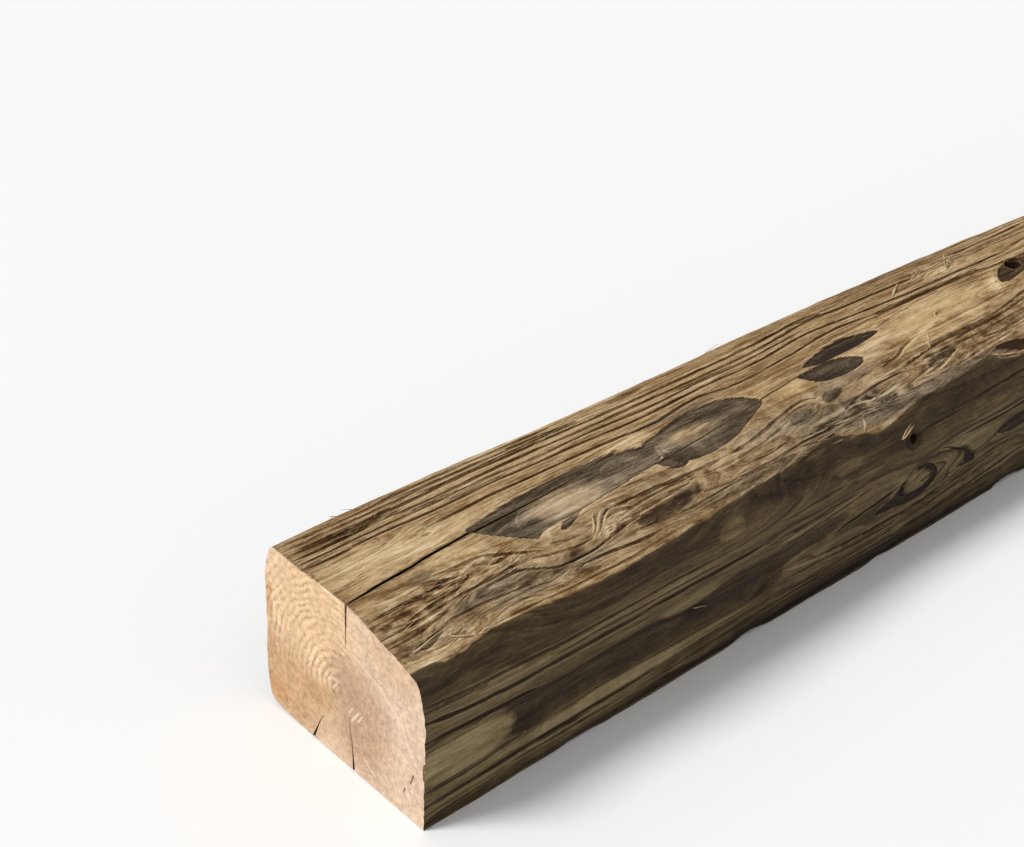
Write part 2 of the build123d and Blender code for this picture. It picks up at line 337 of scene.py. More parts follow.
# Dark grooves in the grain, drawn one by one: half width, darkness, depth, path as x, girth
grainLines = [
    # The hard ridges along the back half of the top
    (1.0, 0.9, 1.5, [(84, 208.5), (120, 210), (140, 211), (165, 210), (200, 210), (230, 209), (262, 207), (285, 207),
        (300, 209), (320, 211.5), (334, 211), (346, 208.5), (362, 207), (382, 207), (400, 208.5), (420, 210),
        (440, 212), (460, 214), (480, 215.5), (500, 214), (520, 212)]),
    (1.2, 0.8, 1.5, [(514, 212), (545, 211), (570, 210.5), (600, 210), (625, 209.5), (640, 208.5), (660, 205.5),
        (680, 203.5), (705, 202), (760, 203), (830, 207)]),
    (0.9, 0.95, 1.5, [(0, 220), (20, 219.5), (32, 219.5), (45, 221), (65, 221), (80, 220), (100, 219.5), (120, 219.5),
        (140, 220.5), (152, 221), (170, 219.5), (200, 219), (230, 218.5), (250, 217.5), (270, 216.5), (292, 216.5),
        (310, 217.5), (330, 218.5), (350, 219), (370, 218), (392, 218), (410, 219), (430, 221.5), (450, 223.5),
        (465, 224), (480, 222.5), (500, 221), (520, 220), (540, 219), (560, 218), (580, 217), (620, 217),
        (640, 216.5), (660, 215.5), (700, 214.5)]),
    (0.8, 0.85, 1.3, [(0, 224), (20, 225), (45, 225.5), (60, 226), (80, 225.5), (120, 225.5), (150, 226), (170, 225),
        (185, 224), (210, 224.5), (240, 224.5), (265, 223.5), (290, 222.5), (310, 223), (330, 224.5), (350, 224.5),
        (380, 224), (400, 224.5), (420, 226), (440, 227.5), (460, 229)]),
    (1.0, 0.95, 1.5, [(0, 230), (25, 230), (45, 231), (62, 232), (75, 231.5), (90, 230), (120, 230), (145, 231),
        (180, 231), (210, 230.5), (240, 230), (270, 229.5), (300, 230), (325, 229), (350, 229), (380, 229.5),
        (405, 230), (425, 231.5), (445, 233.5), (465, 235.5), (480, 236.5), (500, 235), (515, 233.5), (540, 233),
        (570, 232.5), (600, 231.5)]),
    (1.1, 1.0, 1.6, [(4, 235.5), (20, 235.5), (40, 235), (60, 236), (80, 236), (100, 236.5), (120, 237.5),
        (140, 237.5), (165, 237), (200, 237), (230, 236.5), (260, 235.5), (300, 236), (340, 236), (380, 236),
        (405, 237), (430, 238), (450, 239.5), (470, 240.5), (490, 240)]),
    (0.8, 0.75, 1.1, [(2, 240.5), (20, 241), (60, 241), (80, 241), (100, 242), (130, 242.5), (170, 242.5), (200, 242),
        (240, 241)]),
    (0.7, 0.6, 0.9, [(4, 245), (25, 245.5), (60, 245), (100, 246.5), (140, 247), (180, 247), (220, 246)]),
    (1.8, 0.7, 1.0, [(46, 232.5), (58, 233.5), (70, 232)]), (0.5, 0.35, 0.5, [(2, 214), (20, 213.5), (38, 214.5)]),
    (0.5, 0.35, 0.4, [(120, 198.8), (150, 200.7), (170, 201.2), (198, 200.7), (222, 200.2), (240, 203),
        (260, 204.5)]),
    (1.1, 0.8, 0.8, [(76, 202.5), (82, 202.5)]), (0.5, 0.3, 0.4, [(4, 188), (14, 187.5)]),
    (0.5, 0.3, 0.4, [(6, 192), (18, 192.5)]), (1.0, 0.8, 1.2, [(648, 238), (665, 236.5), (700, 236.5), (760, 238)]),
    (0.7, 0.6, 1.0, [(650, 231), (670, 230), (700, 229.5), (770, 230)]),
    (1.3, 0.9, 1.4, [(630, 222.5), (638, 226), (647, 228)]), (0.5, 0.45, 0.3, [(640, 176), (646, 184), (650, 192)]),
    (0.5, 0.35, 0.3, [(632, 176), (638, 184), (645, 192)]), (1.0, 0.6, 0.8, [(10, 236), (24, 236.5), (40, 236)]),
    # Torn grain between the check and the front edge
    (0.5, 0.5, 0.8, [(14, 169.5), (26, 169), (40, 168.5)]),
    (0.8, 0.6, 1.0, [(2, 160.5), (12, 162), (30, 162.5), (45, 162)]),
    (1.0, 0.9, 1.2, [(24, 152), (36, 153.5), (50, 153.5), (60, 154.5), (68, 157), (74, 158.5)]),
    (0.7, 0.8, 1.2, [(0, 147.5), (20, 149), (40, 149.5), (55, 150.5), (80, 151), (100, 150.5), (111, 152)]),
    (0.7, 0.6, 0.9, [(0, 141), (20, 141.5), (35, 143.5), (50, 145.5)]),
    (0.9, 0.75, 1.2, [(42, 160.5), (52, 162), (58, 164), (66, 162), (72, 160)]),
    (0.8, 0.75, 1.2, [(56, 169), (70, 167.5), (88, 167), (97, 163.5), (106, 159), (116, 154), (123, 150.5)]),
    (0.7, 0.55, 0.9, [(82, 162), (94, 158), (104, 154)]),
    (0.9, 0.8, 1.3, [(78, 147), (92, 147.5), (104, 146), (114, 141), (122, 136.5), (132, 134), (146, 133),
        (160, 134.5), (172, 138), (182, 139.5), (196, 140)]),
    (0.8, 0.6, 1.0, [(114, 149), (128, 144.5), (145, 141.5), (160, 141)]),
    (0.7, 0.5, 0.8, [(131, 151.5), (146, 148), (160, 147.5), (172, 148.5)]),
    (0.7, 0.85, 1.3, [(158, 140.5), (166, 144.5), (172, 148.5), (176, 152.5), (184, 155)]),
    (0.9, 0.8, 1.1, [(190, 154.5), (206, 153.5), (222, 153.5), (240, 152), (255, 151), (270, 150.5), (290, 151)]),
    (0.9, 0.85, 1.3, [(290, 151), (310, 152.5), (330, 156), (345, 159.5), (360, 162), (376, 164.5), (386, 163.5),
        (393, 161)]),
    (0.7, 0.6, 0.9, [(178, 145.5), (195, 147.5), (215, 149), (235, 149.5), (255, 148)]),
    (0.8, 0.7, 1.0, [(184, 142.5), (205, 142.5), (222, 144), (240, 144.5), (255, 146.5)]),
    (0.7, 0.6, 0.9, [(262, 146), (275, 145), (290, 145.5), (310, 147), (328, 149), (345, 152.5), (356, 155)]),
    (1.2, 0.75, 1.0, [(138, 127), (150, 126.5), (165, 124.5), (176, 122.5), (190, 121.5), (202, 121.5)]),
    (0.7, 0.45, 0.7, [(82, 126.5), (95, 124.5), (110, 122.5), (124, 121.5)]),
    (0.6, 0.4, 0.6, [(46, 131), (70, 130), (92, 131), (110, 128)]),
    (0.6, 0.5, 0.6, [(52, 118), (70, 117.5), (90, 117), (110, 115.5), (140, 114), (170, 114)]),
    (0.7, 0.7, 0.9, [(300, 140.5), (318, 140.5), (332, 141.5), (340, 142)]),
    (0.8, 0.7, 0.9, [(286, 132), (300, 133), (320, 134.5), (340, 136.5), (358, 138), (375, 138), (392, 136.5),
        (412, 134)]),
    (0.6, 0.35, 0.6, [(222, 127), (250, 128), (280, 130), (310, 131), (330, 131.5)]),
    (0.6, 0.6, 0.9, [(364, 141.5), (380, 141), (398, 141), (412, 141.5)]),
    (0.7, 0.6, 0.9, [(404, 143.5), (420, 147), (432, 148.5), (445, 149.5), (465, 150), (480, 149.5)]),
    (1.3, 0.85, 1.2, [(422, 144.5), (430, 143.5), (437, 142)]),
    (1.0, 0.85, 1.5, [(466, 159.5), (476, 161), (488, 162.5), (497, 167), (508, 169), (521, 171)]),
    (0.9, 0.75, 1.1, [(482, 152), (498, 154), (512, 156), (530, 157.5), (550, 157.5), (575, 158.5), (600, 159),
        (620, 160), (640, 163), (670, 167), (700, 170)]),
    (0.7, 0.7, 1.0, [(500, 150.5), (520, 151.5), (540, 151), (560, 150.5), (600, 151), (640, 151.5), (690, 154)]),
    (0.6, 0.55, 0.9, [(545, 154.5), (575, 155.5), (605, 155.5), (625, 157), (650, 160)]),
    (1.0, 0.8, 1.1, [(492, 140), (500, 139.5), (512, 141.5), (530, 145.5), (545, 148)]),
    (0.8, 0.7, 1.0, [(572, 145.5), (590, 144.5), (610, 144.5), (660, 147)]),
    (0.6, 0.5, 0.8, [(560, 147.5), (585, 148.5), (610, 148), (650, 150)]),
    (0.8, 0.45, 0.7, [(462, 133.5), (480, 133.5), (500, 133), (520, 134), (540, 136), (560, 138.5), (600, 140)]),
    (0.7, 0.45, 0.8, [(525, 170.5), (550, 171), (580, 171.5), (610, 172), (632, 173.5)]),
    (0.6, 0.35, 0.6, [(503, 196), (520, 199.5), (545, 202.5), (570, 204.5), (600, 205.5)]),
    (1.2, 0.8, 1.0, [(12, 127), (20, 128), (28, 131), (34, 134)]),
    (0.9, 0.7, 0.9, [(12, 131), (20, 134.5), (30, 136), (40, 138)]),
    (0.6, 0.5, 0.6, [(40, 139.5), (60, 139), (80, 137.5), (100, 134), (112, 130)]),
    (1.0, 0.8, 1.0, [(38, 131), (41, 125), (47, 121)]), (0.8, 0.75, 0.8, [(169, 143), (174, 148.5), (180, 151)]),
    # Pale raised edges, darkness under 0: paler fibres with a painted highlight along them
    (1.2, -0.7, 0.0, [(366, 143.7), (385, 144.2), (405, 144), (425, 142.8), (436, 141), (450, 140.6), (464, 142.3)]),
    (0.8, -0.65, 0.0, [(503, 137.5), (520, 141.2), (535, 145.5), (548, 149)]),
    (0.9, -0.45, 0.0, [(456, 152.3), (480, 153.3), (500, 155.6), (520, 157.4)]),
    (1.3, -0.8, 0.0, [(403, 116), (408, 123), (411, 131)]),
    (0.9, -0.6, 0.0, [(180, 143.6), (195, 144.8), (215, 146), (240, 146.4), (254, 145)]),
    (1.6, -0.85, 0.0, [(159, 139.5), (167, 142.8), (171.5, 148), (177, 153), (184, 155.7), (191, 156.3)]),
    (1.2, -0.65, 0.0, [(176, 149.5), (182, 152.6), (189, 153.2), (197, 150.8)]),
    (1.4, -0.7, 0.0, [(35, 133), (37, 127), (42, 121.5), (50, 118)]),
    (1.0, -0.6, 0.0, [(48, 131), (46, 125), (51, 120)]), (1.7, -0.95, 0.0, [(53, 116.3), (61, 117)]),
    (1.0, -0.6, 0.0, [(8, 129), (18, 131.5), (27, 133.3)]), (0.7, -0.4, 0.0, [(60, 135.5), (80, 134.5), (98, 131.5)]),
    (0.8, -0.5, 0.0, [(20, 145.5), (40, 146.5), (60, 147.8)]),
    (0.9, -0.5, 0.0, [(66, 160), (78, 163.5), (90, 162.5), (98, 159.5)]),
    (0.8, -0.5, 0.0, [(42, 157.5), (54, 158.5), (64, 160)]),
    (0.8, -0.4, 0.0, [(128, 172), (131, 180), (138, 187), (149, 190.8)]),
    (0.7, -0.3, 0.0, [(208, 184), (213, 190), (223, 194), (236, 193)]),
    (0.7, -0.25, 0.0, [(216, 173), (229, 178), (242, 186)]), (0.9, -0.3, 0.0, [(262, 189), (257, 182), (254, 174)]),
    (0.8, -0.35, 0.0, [(264, 186), (261, 179), (260, 172)]), (0.9, -0.5, 0.0, [(200, 203), (230, 206.5), (262, 205)]),
    (1.2, -0.4, 0.0, [(545, 214.3), (580, 213.6), (620, 213.4), (650, 211.5)]),
    (1.5, -0.75, 0.0, [(592, 229), (598, 231.5), (603, 236)]), (1.2, -0.7, 0.0, [(598, 228.5), (608, 229.5)]),
    (1.1, -0.6, 0.0, [(612, 234), (632, 234)]), (1.3, -0.75, 0.0, [(629, 221.5), (638, 224), (645, 229), (647, 237)]),
    (1.2, -0.45, 0.0, [(384, 248), (390, 251), (396, 255)]),
    (0.9, -0.45, 0.0, [(100, 222.3), (130, 222.8), (152, 223.4)]),
    (0.8, -0.4, 0.0, [(520, 168.5), (560, 168), (600, 168.5), (640, 170.5)]),
    (0.7, -0.35, 0.0, [(500, 160), (540, 161.5), (600, 162.5)]),
    # Streaks on the front side
    (0.6, 0.6, 0.7, [(0, 88), (15, 86.5), (30, 85.5), (50, 84.5), (75, 84), (100, 83.5)]),
    (0.5, 0.5, 0.6, [(0, 85), (20, 83.5), (45, 82.5)]),
    (1.4, 0.85, 1.2, [(0, 78.5), (12, 76.5), (25, 74.5), (45, 73), (70, 72), (100, 71.5), (140, 71.5), (168, 71)]),
    (1.0, 0.7, 0.9, [(170, 72), (200, 72), (240, 71.5), (285, 72)]),
    (0.6, 0.45, 0.6, [(90, 83), (130, 84), (160, 83.5), (200, 84), (240, 84)]),
    (0.7, 0.6, 0.7, [(100, 77.5), (140, 78), (180, 77.5), (210, 77.5), (240, 77)]),
    (1.6, 0.9, 1.3, [(0, 64), (20, 63), (40, 62), (60, 60.5), (90, 59)]),
    (0.6, 0.5, 0.6, [(8, 56), (25, 56.5), (40, 56)]),
    (1.8, 0.85, 1.3, [(0, 27), (25, 27), (45, 27.5), (60, 29), (75, 30.5)]),
    (1.2, 0.75, 1.0, [(0, 16.5), (30, 17), (60, 17.5), (100, 18), (140, 18.5), (185, 19)]),
    (0.6, 0.4, 0.6, [(60, 12), (100, 13), (150, 13)]),
    (0.9, 0.5, 0.7, [(0, 7), (30, 8), (70, 8), (120, 8.5), (170, 8), (230, 7)]),
    (1.0, 0.6, 0.8, [(300, 70), (330, 69.5), (360, 71), (385, 72)]),
    (0.8, 0.6, 0.8, [(300, 60), (340, 62), (365, 64.5), (390, 67.5), (412, 69.5)]),
    (0.6, 0.45, 0.6, [(300, 83), (340, 82.5), (380, 82)]),
    (1.1, 0.85, 1.0, [(362, 46), (380, 48.5), (398, 51), (420, 53.5), (436, 56.5)]),
    (1.0, 0.6, 0.8, [(350, 35), (375, 32), (405, 30), (440, 29.5), (470, 31), (490, 35), (510, 38), (530, 39.5),
        (560, 40), (590, 38)]),
    (0.8, 0.5, 0.7, [(320, 30), (350, 29), (380, 26), (410, 25), (450, 26), (490, 30), (520, 33.5), (560, 35)]),
    (1.2, 0.7, 0.9, [(440, 15), (470, 15.5), (500, 18), (530, 21), (560, 23.5), (595, 25)]),
    (0.7, 0.45, 0.6, [(300, 20), (350, 18), (400, 18), (440, 21), (480, 24.5), (520, 27.5), (570, 30)]),
    (1.1, 0.9, 1.2, [(479, 69.5), (488, 67), (494, 63.5), (502, 59.5), (509, 57)]),
    (1.6, 0.9, 1.1, [(505, 43.5), (518, 43), (527, 43)]),
    (1.1, 0.8, 0.9, [(505, 71), (530, 70), (560, 69.5), (600, 71)]),
    (0.7, 0.5, 0.6, [(520, 92), (560, 94), (600, 96)]), (0.6, 0.4, 0.5, [(455, 90), (480, 90), (510, 90)]),
    (1.5, -0.45, 0.0, [(405, 36.5), (430, 34), (460, 33), (480, 36), (495, 41)]),
    (1.2, -0.35, 0.0, [(300, 64.5), (340, 66.5), (380, 68), (410, 69)]),
    (1.3, -0.35, 0.0, [(310, 40), (322, 36.5), (350, 32), (400, 29.5), (440, 28)]),
    (1.2, -0.35, 0.0, [(303, 43), (320, 46), (345, 47.5)]), (1.2, -0.35, 0.0, [(372, 83), (385, 81.5), (410, 81.8)]),
    (1.0, -0.35, 0.0, [(510, 78), (530, 77), (560, 77.5)]),
    (1.4, -0.35, 0.0, [(120, 29.5), (160, 30), (210, 27.5), (280, 27)]),
    (0.9, -0.35, 0.0, [(40, 80.5), (70, 78.8), (100, 78.9)]),
]

grooves = {
    "reach": 9,         # mm round a path that it is worked out for
    "farthest": 12.0,   # mm given further away
    "thinnest": 0.35,   # share of the width left at both ends
    "taper": 16,        # mm
    "palest": 0.6,      # share of the darkness left at both ends
    "slope": (1.15, 0.6),  # half widths and mm over which the cut slopes
}


def nearestLine(x, g, lines, s):
    # For the nearest groove: mm across it (signed) and to its middle, its half width and darkness.
    # press is how deep the grooves go, in mm
    fields = {name: np.full(x.shape, s["farthest"]) for name in ("across", "away")}
    fields.update({name: np.zeros(x.shape) for name in ("half", "dark", "press")})
    for half, darkness, depth, path in lines:
        p, run = measuredLine(path)
        near = around(x, g, p, s["reach"])
        u, v = x[near], g[near]
        best, at, side = np.full(u.shape, 1e9), np.zeros(u.shape), np.ones(u.shape)
        for a, b, start in zip(p[:-1], p[1:], run[:-1]):
            t, du, dv = fromSegment(u, v, a, b)
            d = np.hypot(du, dv)
            ex, ey = b - a
            closer = d < best
            at = np.where(closer, start + t * math.hypot(ex, ey), at)
            side = np.where(closer, np.sign(ex * (v - a[1]) - ey * (u - a[0])), side)
            best = np.minimum(best, d)
        full = smooth(np.minimum(at, run[-1] - at), -1, min(s["taper"], run[-1] / 2))
        taper = s["thinnest"] + (1 - s["thinnest"]) * full
        closer = best < fields["away"][near]
        where = tuple(i[closer] for i in np.nonzero(near))
        for name, value in (("across", best * side), ("away", best), ("half", half * taper),
                            ("dark", darkness * (s["palest"] + (1 - s["palest"]) * taper))):
            fields[name][where] = value[closer]
        cut = depth * taper * np.exp(-(best / (s["slope"][0] * half + s["slope"][1])) ** 2)
        fields["press"][near] = np.maximum(fields["press"][near], cut)
    return fields


lineFields = nearestLine(skinX, skinGirth, grainLines, grooves)

print("growth rings")
rings = {
    "pithY": 76,          # heart of the tree on the sawn end
    "pithZ": 50,
    "innerSpacing": 4.6,  # mm between rings near the heart
    "outerSpacing": 2.9,  # and further out
    "outerRadius": 90,
    "wander": 4.0,        # how far the heart strays from a straight line
    "waver": 1.7,         # long waves in the rings
    "waverSize": (190, 34, 34),
    "ripple": 0.7,        # short waves
    "rippleSize": (60, 13, 13),
    "followAlong": 32,    # mm over which the rings bend to follow the drawn grooves
    "followAcross": 6.5,
    "followEvery": 14,    # mm between the places where they are led
    "followEase": 0.08,   # lets them miss a little where grooves disagree
    "drawnEnd": 860,      # mm along, past which no grooves are drawn
    "drawnGirth": 256,
}
# Swirls: the rings swell round a branch. x, girth, lift in mm, reach along, reach across
swirls = [(460, 52, 9.0, 40, 11)]


def ringField(x, g, y, z):
    r = rings
    driftY = r["wander"] * np.sin(x / 290) * np.cos(x / 710 + 0.3)
    driftZ = 1.3 * r["wander"] * np.sin(x / 410)
    radius = np.hypot(y - r["pithY"] - driftY, z - r["pithZ"] - driftZ)
    radius = radius + r["waver"] * noiseAt(x, y, z, r["waverSize"], 1)
    radius = radius + r["ripple"] * noiseAt(x, y, z, r["rippleSize"], 2)
    for cx, cg, lift, reachAlong, reachAcross in swirls:
        radius = radius + lift * np.exp(-(((x - cx) / reachAlong) ** 2) - ((g - cg) / reachAcross) ** 2)
    first = 1 / r["innerSpacing"]
    grow = (1 / r["outerSpacing"] - first) / r["outerRadius"]
    return first * radius + 0.5 * grow * radius**2


def bendToLines(phase, lines, r):
    # Bends the rings so that each drawn groove runs along one ring
    spots = []
    for *_, path in lines:
        p, run = measuredLine(path)
        at = np.linspace(0, run[-1], max(2, round(run[-1] / r["followEvery"])))
        x, g = np.interp(at, run, p[:, 0]), np.interp(at, run, p[:, 1])
        level = skinAt(phase, x, g)
        spots.append(np.stack([x, g, level.mean() - level]))
    px, pg, miss = np.concatenate(spots, 1)

    def pull(ax, ag):
        offX, offG = (ax[:, None] - px) / r["followAlong"], (ag[:, None] - pg) / r["followAcross"]
        return np.exp(-(offX**2) - offG**2)

    weight = np.linalg.solve(pull(px, pg) + r["followEase"] * np.eye(len(px)), miss)
    near = (skinX < r["drawnEnd"]) & (skinGirth < r["drawnGirth"])
    bent = phase.copy()
    bent[near] += pull(skinX[near], skinGirth[near]) @ weight
    return bent


print("wear on the faces")
# Places with a clear edge, drawn one by one: depth, tone (dark under 0), grey (yellow under 0),
# softness of the edge in mm, outline as x, girth
patches = [
    # The two sunken places beside the long check, and the pale sliver between them
    (1.4, -0.54, 1.0, 0.6, [(97, 191.5), (112, 194), (128, 197), (145, 198.7), (165, 200.2), (198, 200.5),
        (215, 199.7), (226, 198.5), (238, 195), (250, 192.5), (256, 186), (254, 178), (250, 173), (240, 171.5),
        (225, 169.5), (205, 167), (190, 166), (165, 163.5), (145, 162), (133, 161), (129, 157), (121, 164),
        (114, 171), (108, 179), (103, 187)]),
    (1.5, -0.54, 1.0, 0.6, [(252, 194), (262, 195.5), (276, 198.5), (288, 201), (300, 203), (312, 203.5),
        (325, 202.5), (338, 200.5), (348, 197.5), (355, 191.5), (359, 184), (358, 179), (350, 175.5), (338, 171),
        (322, 165), (308, 160.5), (292, 158.5), (276, 158), (264, 160), (258, 166), (253, 173), (250, 182)]),
    (-0.1, 0.5, -0.2, 0.5, [(222, 199.5), (232, 203), (246, 205), (262, 205), (271, 201.5), (256, 196), (243, 195.2),
        (231, 197)]),
    (1.4, -0.6, 1.0, 0.5, [(243, 172), (250, 173), (256, 172), (258, 165), (263, 160), (256, 157), (250, 158.5),
        (247, 165)]),
    # Dark leaves where the surface cuts just through one ring
    (1.0, -0.95, 1.0, 0.6, [(401, 186), (415, 187.5), (430, 189), (445, 188), (455, 183), (463, 177), (460, 172),
        (450, 168.5), (435, 167.5), (420, 169), (410, 172), (405, 178)]),
    (1.0, -0.78, 0.9, 0.6, [(415, 193.5), (425, 197), (440, 200.5), (455, 202.5), (470, 203.5), (480, 202),
        (490, 199), (500, 197), (507, 195), (500, 192), (480, 190.5), (460, 189.5), (445, 189), (430, 189),
        (422, 190.5)]),
    (0.7, -0.62, 0.6, 1.2, [(394, 157.5), (400, 161), (410, 161.3), (419, 160), (415, 156), (405, 152.5),
        (398, 153.5)]),
    (0.6, -0.36, 0.8, 1.5, [(354, 152), (362, 156), (372, 158.5), (383, 157), (379, 151), (370, 148), (358, 149.5)]),
    (0.7, -0.55, 0.5, 1.2, [(434, 136), (440, 139.5), (450, 139), (456, 137), (450, 132), (440, 130.5)]),
    (0.9, -0.66, 0.5, 1.5, [(190, 136), (200, 139.5), (220, 140), (240, 143), (250, 143), (257, 139.5), (246, 135),
        (230, 131), (215, 128.5), (200, 129), (193, 132)]),
    (0.5, -0.5, 0.3, 0.5, [(370, 130), (376, 131.5), (383, 130.5), (378, 128.5)]),
    (0.9, -0.7, 0.5, 1.3, [(500, 142), (515, 143.7), (532, 147.2), (547, 149.7), (532, 151), (512, 150), (502, 147)]),
    # A painted shadow band along the groove near girth 210
    (0.6, -0.28, -0.1, 1.2, [(516, 202), (545, 204.5), (580, 206), (610, 206), (640, 206.5), (655, 204), (640, 209.5),
        (600, 211), (560, 212), (520, 213)]),
    (0.6, -0.45, 0.8, 0.6, [(145, 155.5), (150, 161), (160, 163), (173, 164), (161, 159), (151, 155)]),
    # The flake on the arris and the dark place that it came away from
    (-0.5, 0.28, 0.3, 0.6, [(558, 128), (566, 131), (575, 128), (585, 120), (593, 112), (590, 108), (580, 109),
        (570, 114), (563, 121)]),
    (0.8, -0.95, 0.1, 0.6, [(567, 131.5), (576, 134.5), (590, 132), (602, 127), (608, 118), (597, 112), (588, 119.5),
        (577, 128)]),
    (-0.3, 0.35, 0.0, 0.8, [(-2, 113.5), (-2, 121), (18, 119.5), (33, 121), (47, 117.5), (42, 112), (25, 111.5)]),
    (0.6, -0.5, 0.2, 1.5, [(268, 244), (280, 247), (295, 248), (313, 246.5), (300, 243), (280, 241.5)]),
    # The knot stub and the hollow behind it
    (-0.6, 0.5, 0.1, 0.5, [(628, 173), (632, 180), (635, 186), (641, 191), (647, 196.5), (655, 196), (652, 188),
        (646, 181), (639, 175.5)]),
    (2.2, -0.95, 0.6, 0.5, [(651, 186), (658, 194), (666, 199), (680, 203), (700, 204), (712, 198), (705, 190),
        (690, 186), (670, 183), (655, 181)]),
    # Front side: the olive end of a band, the dark band beyond it and the swirl round a branch
    (-0.2, 0.62, -0.1, 2.5, [(-4, 56), (20, 57), (45, 57), (58, 55), (66, 50), (68, 42), (62, 36), (48, 31), (25, 30),
        (-4, 31)]),
    (0.4, -0.42, 0.0, 1.6, [(60, 60), (90, 58), (115, 57.5), (150, 59), (182, 60), (190, 58.5), (196, 54.5),
        (212, 52.5), (230, 54), (245, 57.5), (262, 60.5), (290, 60.5), (310, 59), (345, 61), (372, 60), (380, 56),
        (360, 50), (340, 47), (318, 46), (306, 42), (312, 38), (300, 32), (270, 30), (240, 30), (205, 31),
        (150, 33.5), (110, 32.5), (88, 31), (70, 31), (64, 36), (70, 43), (68, 51), (60, 56)]),
    (0.7, -0.8, 0.1, 0.5, [(405, 41), (425, 39), (445, 37), (460, 37), (472, 40), (479, 46), (478, 53), (472, 59),
        (465, 63.5), (455, 64), (448, 63), (455, 61.5), (464, 59), (470, 54), (470, 48), (463, 44), (450, 43),
        (440, 45), (437, 50), (441, 56), (438, 58), (433, 53), (425, 48), (412, 44)]),
    (-0.3, 0.3, 0.5, 0.5, [(438, 48), (445, 44.5), (458, 44.5), (468, 49), (468, 55), (461, 60), (450, 61.5),
        (442, 58), (438, 53)]),
    (0.2, 0.12, 0.7, 0.5, [(482, 66), (490, 63.5), (500, 59.5), (508, 56), (513, 50), (511, 44), (500, 40), (488, 42),
        (482, 50)]),
    (0.7, -0.8, 0.1, 0.5, [(494, 63), (509, 56.5), (513, 50), (512, 44.5), (524, 42), (528, 44), (518, 51),
        (513, 58)]),
    (-0.2, 0.38, 0.2, 0.5, [(484, 69), (496, 71), (520, 69), (545, 66), (558, 63.5), (551, 55), (542, 47), (530, 46),
        (519, 52), (513, 59), (500, 63.5)]),
    (0.7, -0.7, 0.1, 0.5, [(551, 55), (560, 60), (575, 62.5), (604, 62), (612, 55), (600, 48), (575, 48), (560, 50)]),
    (-0.2, 0.32, 0.5, 0.5, [(186, 60.5), (192, 57), (197, 53.5), (212, 52), (230, 53.5), (247, 57.5), (240, 62),
        (215, 64)]),
    (0.0, 0.42, 0.6, 1.5, [(240, 97), (250, 102.5), (262, 104), (268, 100), (266, 94), (255, 90.5), (243, 92)]),
    (0.8, -0.38, 0.0, 1.2, [(438, 90), (446, 92.5), (455, 90), (458, 86), (452, 81), (443, 80), (436, 84)]),
    (-0.6, 1.1, 0.9, 0.5, [(433, 92.5), (438, 95.5), (449, 100), (447, 96), (441, 91.5)]),
    (-0.4, 1.0, 0.8, 0.5, [(219, 50), (226, 50.5), (231, 47.5), (226, 45.5)]),
]
